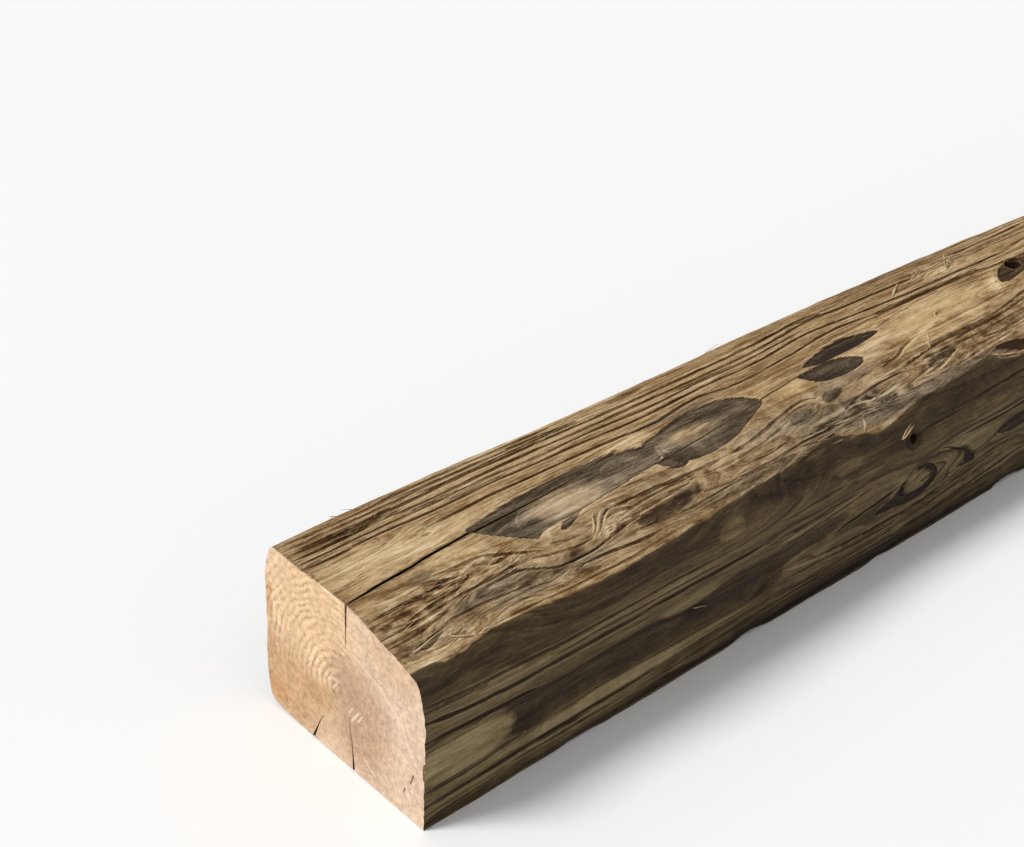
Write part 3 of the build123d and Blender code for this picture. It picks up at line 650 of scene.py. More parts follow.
# Soft light and dark places, some of them painted shade: x, girth, reach along, reach across, tone, grey
stainsAndShade = [
    (45, 200, 64, 13, 0.5, 0.0), (78, 178, 28, 9, 0.12, -0.15), (168, 178, 36, 14, 0.96, -0.4),
    (228, 182, 24, 14, 0.24, 0.1), (112, 178, 8, 9, 0.12, 0.0), (136, 178, 8, 13, -0.1, 0.6),
    (286, 182, 30, 11, 0.56, -0.3), (338, 186, 12, 8, 0.1, 0.0), (268, 176, 14, 8, -0.12, 0.4),
    (294, 188, 18, 5, 0.2, -0.5), (285, 172, 24, 4, 0.15, 0.1), (40, 234, 36, 4.5, -0.42, 0.0),
    (300, 206, 40, 4, -0.1, 0.6), (372, 193, 18, 6, 0.3, 0.0), (386, 178, 12, 6, 0.25, -0.6),
    (425, 164, 42, 5, 0.24, 0.6), (350, 154, 44, 8, 0.05, 0.5), (455, 194, 60, 3, -0.2, 0.3),
    (478, 180, 22, 9, 0.2, 0.2), (575, 188, 68, 13, 0.28, -0.75), (520, 185, 40, 8, 0.1, -0.3),
    (560, 167, 60, 6, 0.05, -0.6), (350, 140, 420, 27, 0.0, 0.22), (75, 143, 36, 6, -0.05, 0.7),
    (50, 172, 10, 6, -0.05, 0.6), (25, 132, 24, 8, -0.05, 0.4), (20, 125, 30, 7, 0.28, 0.0),
    (120, 130, 60, 9, -0.02, 0.5), (180, 147, 16, 5, 0.35, 0.0), (222, 158, 30, 8, -0.06, 0.2),
    # The first place below, at x 512 and girth 174, is a painted shadow under the fold of a groove
    (512, 174, 13, 5, -0.25, -0.2), (300, 125, 90, 8, -0.2, 0.4), (400, 140, 60, 12, -0.15, 0.6),
    (500, 126, 90, 12, -0.06, 0.7), (430, 125, 40, 8, 0.0, 0.6), (600, 150, 60, 10, -0.05, 0.0),
    (600, 245, 130, 12, -0.2, 0.1), (450, 252, 140, 10, 0.0, 0.0), (130, 226, 110, 12, 0.14, -0.1),
    (300, 230, 70, 10, 0.06, -0.15), (620, 226, 26, 8, 0.2, 0.0), (40, 250, 60, 6, -0.2, 0.0),
    (30, 128, 16, 5, 0.2, 0.0), (440, 112, 30, 5, 0.15, 0.2), (110, 102, 230, 13, -0.28, 0.0),
    (335, 106, 60, 11, -0.45, 0.5), (500, 107, 120, 14, -0.42, 0.1), (60, 76, 90, 9, 0.22, -0.2),
    (170, 77, 60, 7, 0.18, 0.1), (120, 25, 110, 5, 0.62, 0.0), (224, 48, 11, 4, -0.3, 0.0),
    (140, 11, 120, 5, 0.46, 0.0), (230, 80, 60, 7, 0.1, 0.2), (420, 60, 50, 6, 0.18, 0.1),
    (340, 38, 30, 5, 0.15, 0.3), (460, 76, 40, 6, 0.05, 0.1), (540, 80, 50, 8, 0.1, 0.2),
    # The dark places low on the front side, at girth 2 to 12, are painted shade where the beam meets the floor
    (330, 10, 170, 9, -0.24, 0.2), (380, 2, 230, 7, -0.6, 0.3), (560, 12, 120, 10, -0.2, 0.2),
    (260, 18, 40, 7, -0.15, 0.3),
]
# Where the rings show, weakly or plainly: x, girth, reach along, reach across, strength led to
clearness = [
    (45, 198, 75, 10, 0.1), (180, 180, 90, 17, 0.12), (305, 182, 70, 18, 0.12), (590, 186, 95, 15, 0.06),
    (440, 180, 60, 20, 0.15), (120, 100, 330, 11, 0.12), (30, 44, 50, 12, 0.2), (200, 46, 140, 12, 0.18),
    (440, 105, 200, 10, 0.12), (380, 196, 60, 12, 0.12), (60, 232, 130, 17, 0.04), (330, 228, 220, 18, 0.08),
    (330, 258, 430, 14, 0.08), (500, 48, 60, 20, 0.5), (430, 25, 120, 14, 0.5),
]
# How much of the rings each long face shows, near the sawn end where the grooves are drawn, and beyond
faceRings = {"top": (0.32, 0.66), "front": (0.35, 0.6), "back": (0.6, 0.6), "under": (0.5, 0.5)}
# Torn fibres: x, girth, reach along, reach across, strength
tornPlaces = [
    (70, 157, 44, 12, 1.0), (20, 152, 26, 14, 0.6), (180, 147, 20, 8, 0.9), (420, 138, 55, 9, 0.9),
    (22, 128, 24, 8, 0.9), (392, 124, 14, 7, 0.15), (560, 145, 90, 16, 0.45), (620, 230, 30, 9, 0.8),
    (350, 132, 60, 8, 0.4), (130, 130, 60, 8, 0.35), (55, 233, 26, 5, 0.5),
]
# What the rest of the beam carries, beyond what is drawn
unseen = {
    "seed": 11,
    # Each face's lowest and highest girth, first place and mm between places
    "lanes": {"top": (150, 232, 760, 185), "front": (22, 86, 690, 210), "back": (282, 345, 40, 210),
              "under": (395, 490, 30, 230)},
    "long": (55, 130),    # mm
    "across": (9, 26),
    "depth": 1.2,
    "tones": [-0.65, -0.5, -0.35, 0.25],
    "grey": (0.2, 0.9),
    "softness": [0.6, 1.5, 3.0],
    "ringDip": -5.0,      # mm that the rings bend by at a place
    "ringLifts": [-6.0, -4.0, 5.0, 9.0],  # and beyond it
    "clear": 0.25,
}


def leaf(cx, cg, long, across, lean):
    # The pointed outline that a face leaves where it just cuts through one ring
    turn = [2 * math.pi * i / 12 for i in range(12)]
    return [(cx + long / 2 * math.cos(a),
             cg + across / 2 * math.sin(a) * abs(math.sin(a)) ** 0.5 + lean * math.cos(a)) for a in turn]


def addUnseenWear(s):
    # The same kinds of wear as where it is drawn, placed by chance
    chance = np.random.default_rng(s["seed"])
    for lowest, highest, start, apart in s["lanes"].values():
        for cx in np.arange(start, length - 60, apart):
            cx = cx + chance.uniform(-30, 30)
            place = chance.uniform(lowest, highest)
            long, across = chance.uniform(*s["long"]), chance.uniform(*s["across"])
            tone, grey = chance.choice(s["tones"]), chance.uniform(*s["grey"])
            soft = chance.choice(s["softness"])
            patches.append((s["depth"], tone, grey, soft, leaf(cx, place, long, across, chance.uniform(-3, 3))))
            if chance.random() < 0.5:
                patches.append((1.0, 0.0, 0.5, 2.0, leaf(cx + 4, place, long * 0.5, across * 0.5, 0)))
            swirls.append((cx, place, s["ringDip"], long * 0.45, across * 0.7))
            shift, lift = chance.uniform(55, 75), chance.choice(s["ringLifts"])
            swirls.append((cx + shift, chance.uniform(lowest, highest), lift, 30, 10))
            stainsAndShade.append((cx + shift, place, 70, 12, chance.uniform(-0.35, 0.3), chance.uniform(-0.4, 0.4)))
            tornPlaces.append((cx + chance.uniform(-80, 80), chance.uniform(lowest - 20, highest), 40, 9,
                               chance.uniform(0.3, 0.9)))
            clearness.append((cx, place, 80, 15, s["clear"]))


addUnseenWear(unseen)
ringPhase = bendToLines(ringField(skinX, skinGirth, skinY, skinZ), grainLines, rings)


def signedDistance(u, v, outline):
    # mm to an outline, negative inside it
    best = np.full(u.shape, 1e9)
    inside = np.zeros(u.shape, bool)
    for a, b in zip(outline, np.roll(outline, -1, 0)):
        t, du, dv = fromSegment(u, v, a, b)
        best = np.minimum(best, du**2 + dv**2)
        ex, ey = b - a
        crosses = (a[1] > v) != (b[1] > v)
        inside ^= crosses & (u < a[0] + (v - a[1]) * ex / (ey if ey else 1e-12))
    return np.where(inside, -1, 1) * np.sqrt(best)


def paintPatches(x, g):
    farthest = 14.0
    distance = np.full(x.shape, farthest)
    fields = {name: np.zeros(x.shape) for name in ("depth", "tone", "grey")}
    fields["soft"] = np.full(x.shape, 0.5)
    for *looks, outline in patches:
        line = roundedLine(outline, True)
        near = around(x, g, line, farthest)
        d = signedDistance(x[near], g[near], line)
        closer = d < distance[near]
        at = tuple(i[closer] for i in np.nonzero(near))
        distance[at] = d[closer]
        for name, value in zip(("depth", "tone", "grey", "soft"), looks):
            fields[name][at] = value
    return distance, fields


def layOver(base, places, lead=False):
    # Adds soft oval places to a base, or leads the base to their value
    total = base.copy()
    for cx, cg, reachAlong, reachAcross, value in places:
        off = ((skinX - cx) / reachAlong) ** 2 + ((skinGirth - cg) / reachAcross) ** 2
        total = total + np.exp(-(off**2)) * ((value - total) if lead else value)
    return total


patchDistance, patchFields = paintPatches(skinX, skinGirth)
bare = np.zeros(skinX.shape)
tone = layOver(bare, [(*oval, shade) for *oval, shade, _ in stainsAndShade])
grey = layOver(bare, [(*oval, shade) for *oval, _, shade in stainsAndShade])
strength = sum(onFace(face, skinGirth) * (near + (far - near) * smooth(skinX, 600, 760))
               for face, (near, far) in faceRings.items())
strength = np.clip(layOver(np.clip(strength, 0, 1), clearness, True), 0.04, 1)
torn = np.clip(layOver(bare, tornPlaces), 0, 1)

# The line along the front arris where the weathered top meets the dark side: x, girth
arrisLine = [
    (0, 113), (18, 113), (23, 110), (40, 111), (45, 114), (60, 115), (75, 115.5), (90, 114), (110, 112), (130, 111),
    (150, 110.5), (170, 110), (200, 111), (230, 113), (260, 115), (280, 116.5), (300, 117.5), (330, 121),
    (350, 124.5), (368, 128), (380, 127), (388, 121), (395, 116), (404, 113), (411, 107), (420, 107.5), (435, 110),
    (450, 115), (465, 119), (480, 120.5), (500, 121), (520, 122.5), (540, 125), (560, 127.5), (565, 125), (570, 115),
    (585, 109.5), (600, 111), (620, 116),
]
arris = {
    "corner": (90, 150),   # girths between which the ridge is looked for
    "evenAlong": 22,       # mm
    "stray": 3,            # mm that the line wanders by
    "strayLong": 35,
    "drawnTo": (610, 680),
    "backGirth": 262,      # where the back's dark side begins
    "backStrayLong": 60,
    "fringe": 0.6,         # how much lighter the frayed fibres are
    "fringeWide": 1.3,     # mm
    "foot": 0.5,           # how much darker the front side's foot is painted, as shade by the floor
    "dressed": 160,        # girth past which the front arris has no effect
}


def strayLine(long, seed):
    return arris["stray"] * noiseAt(along, along * 0, along * 0, (long, 1, 1), seed)


def arrisGirth(s):
    # Beyond the drawn line it follows the ridge of the corner itself
    corner = np.flatnonzero((girth > s["corner"][0]) & (girth < s["corner"][1]))
    ridge = girth[corner][np.argmax(skinZ[:, corner] - skinY[:, corner], 1)]
    ridge = blurWeights(along[:, None] - along[None], s["evenAlong"]) @ ridge + strayLine(s["strayLong"], 8)
    x, g = np.array(arrisLine, float).T
    drawn = np.interp(along, x, g)
    return drawn + (ridge - drawn) * smooth(along, *s["drawnTo"])


backLine = arris["backGirth"] + strayLine(arris["backStrayLong"], 9)
sideDistance = np.maximum(arrisGirth(arris)[:, None] - skinGirth, skinGirth - backLine[:, None])
flow = 0.78 * 3.6 * ringPhase + 0.22 * skinGirth
frontward = skinGirth < arris["dressed"]

# Light frayed fibres stand along the arris; the front side's foot is painted darkest, as shade by the floor
fringe = np.exp(-(((sideDistance + 1.7) / arris["fringeWide"]) ** 2)) * frontward
fringe = fringe * smooth(noiseAt(skinX, skinGirth, skinGirth * 0, (11, 5, 5), 4), -0.1, 0.3)
tone = tone + arris["fringe"] * fringe * (1 - 0.5 * smooth(skinX, 300, 360))
footTop = 8 + 4 * noiseAt(skinX, skinGirth, skinGirth * 0, (14, 30, 30), 3)
tone = tone - arris["foot"] * (1 - smooth(skinGirth, 2, footTop))


relief = {
    "edge": 0.8,                # mm over which a place with a clear edge steps down
    "waves": (0.25, 0.45),      # mm: middle and height
    "wavesSize": (130, 20, 20),
    "torn": (0.6, 1.3),
    "tornSize": (24, 2.6, 9),
    "bruise": (0.35, 0.8),      # along the arris
    "bruiseSize": (15, 3, 9),
    "bruiseWide": 7,
    "cornerShare": 0.2,         # how much of it the front lower edge gets
}


def pressIn(s):
    # How far each point goes in, in mm: patches, grooves, long waves, torn fibres and a bruised arris
    press = patchFields["depth"] * smooth(-patchDistance, -s["edge"], s["edge"]) + lineFields["press"]
    press = press + s["waves"][0] - s["waves"][1] * noiseAt(skinX, skinY, skinZ, s["wavesSize"], 5)
    bruised = np.exp(-((sideDistance / s["bruiseWide"]) ** 2)) * frontward
    for where, (middle, swing), size, seed in ((torn, s["torn"], s["tornSize"], 6),
                                               (bruised, s["bruise"], s["bruiseSize"], 7)):
        press = press + where * (middle + swing * noiseAt(skinX, flow, skinGirth * 0.1, size, seed))
    press = press * (1 - onFace("under", skinGirth) * (skinZ < 6))
    return np.maximum(press, 0) * np.where(sharpCorner[None], s["cornerShare"], 1.0)


pressed = pressIn(relief)


def makeBeamMesh():
    points = toFrame(skinX, skinY, skinZ).reshape(-1, 3)
    rows, count = skinX.shape
    i, j = np.meshgrid(np.arange(rows - 1), np.arange(count), indexing="ij")
    k = (j + 1) % count
    quads = np.stack([i * count + j, (i + 1) * count + j, (i + 1) * count + k, i * count + k], -1).reshape(-1, 4)
    ends = [list(range(count)), list(range((rows - 1) * count, rows * count))[::-1]]
    mesh = bpy.data.meshes.new("timber_beam_skin")
    mesh.from_pydata(points.tolist(), [], quads.tolist() + ends)
    fields = {
        "ringPhase": ringPhase, "flow": flow, "press": pressed * mm, "relief": strength, "torn": torn,
        "tone": tone, "grey": grey, "sideDistance": np.clip(sideDistance, -20, 20),
        "lineAcross": lineFields["across"], "lineAway": lineFields["away"], "lineHalf": lineFields["half"],
        "lineDark": lineFields["dark"], "patchDistance": patchDistance, "patchTone": patchFields["tone"],
        "patchGrey": patchFields["grey"], "patchSoft": patchFields["soft"],
    }
    for name, values in fields.items():
        addAttribute(mesh, name, np.asarray(values, np.float32).ravel())
    outward = np.stack([np.zeros_like(outY), outY, outZ], -1).astype(np.float32)
    addAttribute(mesh, "outward", outward.ravel(), "FLOAT_VECTOR")
    addAttribute(mesh, "sawn", [False] * len(quads) + [True, True], "BOOLEAN", "FACE")
    return addObject("weathered_beam", mesh)


print("checks")
# Drying checks down the long faces: face, mouth, depth, path along and across, root's offset across
checks = [
    ("top", 1.9, 30, [(-7, 70.5), (0, 71), (20, 73), (50, 75.2), (62, 77.8), (80, 79), (106, 82), (150, 84),
        (180, 85.5), (200, 88), (235, 91)], 1.5, "open"),
    ("top", 2.2, 30, [(2404, 70), (2340, 74), (2268, 72), (2196, 78), (2112, 80)], 2.0, "open"),
    ("top", 1.2, 8, [(147, 56), (180, 58), (200, 60), (230, 63), (260, 65.5), (300, 69), (320, 72), (357, 74.5),
        (400, 78.5), (428, 81.5)], 0.0, "closed"),
    ("top", 2.0, 18, [(720, 88), (840, 92), (960, 90), (1080, 95), (1200, 93), (1320, 98)], 0.0, "closed"),
    ("top", 1.6, 12, [(1440, 74), (1536, 70), (1632, 73), (1728, 68), (1824, 71), (1896, 69)], 0.0, "closed"),
    ("back", 2.6, 34, [(264, 60), (444, 56), (624, 63), (804, 58), (984, 64), (1164, 61)], -3.0, "closed"),
    ("back", 1.8, 18, [(1656, 36), (1776, 39), (1896, 37), (2016, 40), (2136, 38), (2232, 40)], 1.0, "closed"),
    ("under", 2.8, 24, [(-4, 64), (48, 66), (96, 65), (144, 69), (192, 71)], 2.0, "open"),
    ("under", 3.0, 22, [(-4, 104), (20, 103), (43, 104), (67, 102), (91, 103)], -9.0, "open"),
]
cutters = {
    "above": 5.0,         # mm that a wedge stands out of the face
    "pathStep": 6,
    "stray": 0.2,         # from fibre to fibre
    "holeSides": 16,
    "holeRows": 5,
    "holeAbove": 4,
    "holeLong": 1.3,      # times as long as wide
    "closeFrom": 30,      # mm from the sawn end, where a check closes up a little
}


def inBeam(face, x, place, depth):
    if face == "top":
        return x, place, height - depth
    if face == "under":
        return x, place, depth
    if face == "front":
        return x, depth, place
    return x, width - depth, place


def softPath(path, step, seed, stray):
    # A path redrawn through its points with the small strays that a check takes from fibre to fibre
    p, run = measuredLine(path, 3)
    count = max(4, round(run[-1] / step))
    at = np.linspace(0, run[-1], count + 1)
    drift = np.cumsum(np.random.default_rng(seed).normal(0, stray * 0.5, count + 1))
    drift = drift - np.interp(at, [at[0], at[-1]], [drift[0], drift[-1]])
    return np.interp(at, run, p[:, 0]), np.interp(at, run, p[:, 1]) + drift, at / run[-1]


def wedgeRows(number, check, c):
    # The three corners of a check's wedge at each step: two outside the face and the root
    face, mouth, depth, path, rootShift, kind = check
    x, place, share = softPath(path, c["pathStep"], number, c["stray"])
    swell = 1 - share**2 if kind == "open" else 4 * share * (1 - share)
    swell = np.sqrt(np.clip(swell, 0, 1)) * 0.97 + 0.03
    half = 0.5 * mouth * swell * (0.72 + 0.28 * smooth(x, 0, c["closeFrom"]))
    deep = depth * swell**1.6 + 0.2
    wide = half * (1 + c["above"] / deep)
    lean = rootShift * swell
    outer = place - lean * c["above"] / deep
    above = np.full(x.shape, -c["above"])
    corners = ((outer - wide, above), (place + lean, deep), (outer + wide, above))
    return [[inBeam(face, x[i], p[i], d[i]) for p, d in corners] for i in range(len(x))]


def holeRows(hole, c):
    # Ragged rings down an old knot hole
    rows = []
    for r in range(c["holeRows"]):
        t = r / (c["holeRows"] - 1)
        radius = 0.5 * (hole["mouth"] * (1 - t) + hole["root"] * t)
        down = (hole["depth"] + c["holeAbove"]) * t - c["holeAbove"]
        rows.append([])
        for k in range(c["holeSides"]):
            a = 2 * math.pi * k / c["holeSides"]
            out = radius * (1 + 0.10 * math.sin(3 * a + r) + 0.05 * math.sin(5 * a))
            rows[-1].append(inBeam(hole["face"], hole["x"] * length + c["holeLong"] * out * math.cos(a),
                                   hole["place"] + out * math.sin(a), down))
    return rows


def makeCheckTools(c):
    # Closed wedges and bores to cut with: one for each check and each old knot hole
    shapes = [wedgeRows(number, check, c) for number, check in enumerate(checks)]
    shapes += [holeRows(hole, c) for hole in knotHoles]
    vertices, faceList = [], []
    for rows in shapes:
        first, count = len(vertices), len(rows[0])
        vertices += [corner for row in rows for corner in row]
        for a in range(first, len(vertices) - count, count):
            for k in range(count):
                n = (k + 1) % count
                faceList.append((a + k, a + n, a + count + n, a + count + k))
        faceList.append(tuple(range(first, first + count))[::-1])
        faceList.append(tuple(range(len(vertices) - count, len(vertices))))
    mesh = bpy.data.meshes.new("check_tools")
    mesh.from_pydata(toFrame(*np.array(vertices, float).T).tolist(), [], faceList)
    addAttribute(mesh, "cut", [True] * len(faceList), "BOOLEAN", "FACE")
    faceOutward(mesh)
    return addObject("check_tools", mesh)


def faceOutward(mesh):
    work = bmesh.new()
    work.from_mesh(mesh)
    bmesh.ops.recalc_face_normals(work, faces=work.faces[:])
    work.to_mesh(mesh)
    work.free()


print("materials")


eased = {"interpolation_type": "SMOOTHSTEP"}  # makes Map Range run as an even S


def startMaterial(name):
    material = bpy.data.materials.new(name)
    material.use_nodes = True
    tree = material.node_tree
    tree.nodes.clear()
    surface = addNode(tree, "ShaderNodeBsdfPrincipled")
    addNode(tree, "ShaderNodeOutputMaterial", [surface])
    return material, tree, surface


def setStops(node, stops, interpolation="LINEAR"):
    # Gives a colour ramp its stops: position, and a hex colour or a grey level
    node.color_ramp.interpolation = interpolation
    elements = node.color_ramp.elements
    while len(elements) < len(stops):
        elements.new(0.5)
    for element, (position, colour) in zip(elements, stops):
        element.position = position
        element.color = hexToLinear(colour) if isinstance(colour, str) else (colour, colour, colour, 1)
    return node


def vary(tree, level, amounts, *patterns):
    # Adds patterns to a level, each by its distance from its own middle
    for amount, pattern in zip(amounts, patterns):
        away = addNode(tree, "ShaderNodeMath", [pattern, 0.5], operation="SUBTRACT")
        level = addNode(tree, "ShaderNodeMath", [away, amount, level], operation="MULTIPLY_ADD")
    return level


def grainNoise(tree, coordinates, long, across, detail=3.0, roughness=0.55, shift=0.0):
    # Noise drawn out along the fibres, with its lumps long by across mm
    scale = (1000 / long, 1000 / across, 1000 / across)
    placed = addNode(tree, "ShaderNodeMapping", {"Vector": coordinates, "Scale": scale,
                                                 "Location": (shift, shift, shift)})
    return addNode(tree, "ShaderNodeTexNoise", {
        "Vector": placed, "Scale": 1.0, "Detail": detail, "Roughness": roughness})


spruce = {
    "topColours": [(0.02, "#3a220c"), (0.22, "#624423"), (0.40, "#8b6c45"), (0.54, "#a98b62"), (0.70, "#c5a87e"),
                   (0.88, "#dfc49b"), (1.0, "#ecd5b0")],
    "sideColours": [(0.05, "#1c130a"), (0.25, "#33271a"), (0.42, "#493b28"), (0.55, "#5d4e34"), (0.72, "#7a6948"),
                    (0.90, "#948360"), (1.0, "#a8966f")],
    "greyColours": [(0.05, "#30251a"), (0.25, "#4d4030"), (0.45, "#74644f"), (0.60, "#917e67"), (0.80, "#b09b80"),
                    (1.0, "#c8b69b")],
    "warmColours": [(0.05, "#4a3216"), (0.35, "#94754a"), (0.60, "#bd9d6e"), (1.0, "#e0c596")],
    "ringStops": [(0.0, 0.0), (0.10, 0.05), (0.24, 0.58), (0.5, 0.72), (0.82, 0.95), (0.94, 1.0), (1.0, 0.05)],
    # Grains: mm long, mm across, detail, roughness, shift, and how far each lightens and darkens
    "grain": {
        "streak": (60, 1.3, 4, 0.65, 0.0, 1.0),
        "fibre": (34, 1.2, 4, 0.65, 0.0, 0.65),
        "thread": (16, 0.6, 3, 0.65, 5.0, 0.75),
        "speck": (3.5, 0.8, 3, 0.65, 3.0, 0.60),
        "cloud": (140, 22, 3, 0.55, 7.0, 0.38),
        "blot": (24, 8, 3, 0.55, 11.0, 0.20),
    },
    "bent": ("streak", "thread"),  # the grains that run with the rings
    "ringWaver": (0.22, 0.25),   # in rings, with the fibre and the cloud
    "grooveWaver": (0.8, 1.0),   # mm, with the fibre and the thread
    "grooveEdge": (0.45, -0.35),  # mm from its border, bare to full
    "lipHighlightEdge": (2.2, 0.7),
    "placeWaver": (1.6, 1.2),
    "crisp": (1.2, 0.6),         # softness in mm, past which a place has no rim or shadow
    "rimHighlightEdges": ((2.4, 0.9), (0.0, 0.6)),
    "shadowEdges": ((-2.2, -0.6), (0.4, -0.3)),
    "sideWaver": (4.0, 5.0),     # mm, with the fibre and the blot
    "sideEdge": (-0.6, 0.7),
    "middle": 0.52,              # tone of bare wood, 0 to 1 along the colours
    "ringMiddle": 0.66,
    "ringTone": 0.6,
    "tornTone": 1.6,
    "placeTone": 0.45,
    # how far the grooves darken: their own darker wood and painted shade in them
    "grooveTone": -0.48,
    "lipHighlightTone": 0.17,             # painted highlight on the lip of a groove
    "rimHighlightTone": 0.09,             # painted highlight on the rim of a sunken place
    "shadowTone": -0.08,
    "sideGrain": 0.55,           # how much of the grain shows on the dark side
    "grooveBump": -1.2,
    "threadBump": 0.8,
    "ringBump": 0.001,           # m
    "fibreBump": 0.0008,
    "bump": 0.9,
    "roughness": 0.86,
    "specular": 0.2,
    "grooveDepth": 0.9,          # mm worn out of the soft spring wood
    "fibreDepth": 0.5,
    "fibreLong": 38,             # mm
    "fibreAcross": 2.4,
}


def weatheredSpruce(s):
    # Spruce left outdoors for decades: the soft spring wood worn into grooves, dark with their own wood and
    # with painted shade, between pale hard ridges, silvery where torn, nearly black-brown on the side that stayed damp
    material, tree, surface = startMaterial("weathered spruce")
    coordinates = addNode(tree, "ShaderNodeTexCoord").outputs["Object"]
    painted = {name: addNode(tree, "ShaderNodeAttribute", attribute_name=name).outputs["Fac"] for name in (
        "ringPhase", "flow", "relief", "torn", "tone", "grey", "sideDistance", "lineAcross", "lineAway",
        "lineHalf", "lineDark", "patchDistance", "patchTone", "patchGrey", "patchSoft")}
    apart = addNode(tree, "ShaderNodeSeparateXYZ", [coordinates])
    flow = addNode(tree, "ShaderNodeMath", [painted["flow"], mm], operation="MULTIPLY")
    bent = addNode(tree, "ShaderNodeCombineXYZ", [apart.outputs["X"], flow])
    grain = {name: grainNoise(tree, bent if name in s["bent"] else coordinates, *sizes)
             for name, (*sizes, _) in s["grain"].items()}
    fibre, thread = grain["fibre"], grain["thread"]

    # Growth rings, as narrow dark grooves with flat ridges between them
    waver = vary(tree, 0.0, s["ringWaver"], fibre, grain["cloud"])
    phase = addNode(tree, "ShaderNodeMath", [painted["ringPhase"], waver], operation="ADD")
    share = addNode(tree, "ShaderNodeMath", [phase], operation="FRACT")
    ridge = setStops(addNode(tree, "ShaderNodeValToRGB", [share]), s["ringStops"], "EASE")

    # The deeper grooves, each drawn in its place, with a painted highlight on the lip at both sides
    waver = vary(tree, 0.0, s["grooveWaver"], fibre, thread)
    across = addNode(tree, "ShaderNodeMath", [painted["lineAcross"]], operation="ABSOLUTE")
    across = addNode(tree, "ShaderNodeMath", [across, painted["lineHalf"]], operation="SUBTRACT")
    reach = addNode(tree, "ShaderNodeMath", [painted["lineHalf"], 0.7], operation="ADD")
    beyond = addNode(tree, "ShaderNodeMath", [painted["lineAway"], reach], operation="SUBTRACT")
    edge = addNode(tree, "ShaderNodeMath", [across, beyond], operation="MAXIMUM")
    edge = addNode(tree, "ShaderNodeMath", [edge, waver], operation="ADD")
    within = addNode(tree, "ShaderNodeMapRange", [edge, *s["grooveEdge"]], **eased)
    groove = addNode(tree, "ShaderNodeMath", [within, painted["lineDark"]], operation="MULTIPLY")
    beside = addNode(tree, "ShaderNodeMapRange", [edge, *s["lipHighlightEdge"]], **eased)
    dark = addNode(tree, "ShaderNodeMath", [painted["lineDark"], 0.0], operation="MAXIMUM")
    lipHighlight = addNode(tree, "ShaderNodeMath", [beside, dark], operation="MULTIPLY")

    # Places with a clear edge, which follows the fibres
    waver = vary(tree, 0.0, s["placeWaver"], fibre, thread)
    border = addNode(tree, "ShaderNodeMath", [painted["patchDistance"], waver], operation="ADD")
    soft = painted["patchSoft"]
    softInside = addNode(tree, "ShaderNodeMath", [soft, -1.0], operation="MULTIPLY")
    inside = addNode(tree, "ShaderNodeMapRange", [border, soft, softInside], **eased)
    tone, grey = (addNode(tree, "ShaderNodeMath", [painted[patch], inside, painted[bare]], operation="MULTIPLY_ADD")
                  for patch, bare in (("patchTone", "tone"), ("patchGrey", "grey")))

    # The level runs along the colours, from dark to pale. The dark side is worn smoother
    standing = addNode(tree, "ShaderNodeMath", [ridge, s["ringMiddle"]], operation="SUBTRACT")
    clear = addNode(tree, "ShaderNodeMath", [painted["relief"], s["ringTone"]], operation="MULTIPLY")
    level = addNode(tree, "ShaderNodeMath", [standing, clear, s["middle"]], operation="MULTIPLY_ADD")
    shaded = addNode(tree, "ShaderNodeMapRange", [painted["sideDistance"], -1.0, 1.0, 1.0, s["sideGrain"]], **eased)
    amounts = [addNode(tree, "ShaderNodeMath", [shaded, amount], operation="MULTIPLY")
               for *_, amount in s["grain"].values()]
    amounts.append(addNode(tree, "ShaderNodeMath", [painted["torn"], s["tornTone"]], operation="MULTIPLY"))
    level = vary(tree, level, amounts, *grain.values(), thread)

    # A sunken place gets a painted highlight on its rim and a thin painted shadow within it
    crisp = addNode(tree, "ShaderNodeMapRange", [soft, *s["crisp"]], **eased)
    rimHighlightTone = addNode(tree, "ShaderNodeMath", [shaded, s["rimHighlightTone"]], operation="MULTIPLY")
    places = [(tone, s["placeTone"])]
    for edges, amount in ((s["rimHighlightEdges"], rimHighlightTone), (s["shadowEdges"], s["shadowTone"])):
        band = crisp
        for edge in edges:
            side = addNode(tree, "ShaderNodeMapRange", [border, *edge], **eased)
            band = addNode(tree, "ShaderNodeMath", [band, side], operation="MULTIPLY")
        places.append((band, amount))
    for place, amount in (*places, (lipHighlight, s["lipHighlightTone"]), (groove, s["grooveTone"])):
        level = addNode(tree, "ShaderNodeMath", [place, amount, level], operation="MULTIPLY_ADD")
    level.use_clamp = True

    # The top's colours, led to grey or to warm, then the side's beyond the arris
    shades = {name: setStops(addNode(tree, "ShaderNodeValToRGB", [level]), s[name])
              for name in ("topColours", "greyColours", "warmColours", "sideColours")}
    colour = shades["topColours"]
    for sign, name in ((1.0, "greyColours"), (-1.0, "warmColours")):
        amount = addNode(tree, "ShaderNodeMath", [grey, sign], operation="MULTIPLY", use_clamp=True)
        colour = addNode(tree, "ShaderNodeMix", [amount, colour, shades[name]], data_type="RGBA")
    turned = vary(tree, painted["sideDistance"], s["sideWaver"], fibre, grain["blot"])
    turned = addNode(tree, "ShaderNodeMapRange", [turned, *s["sideEdge"]], **eased)
    colour = addNode(tree, "ShaderNodeMix", [turned, colour, shades["sideColours"]], data_type="RGBA")

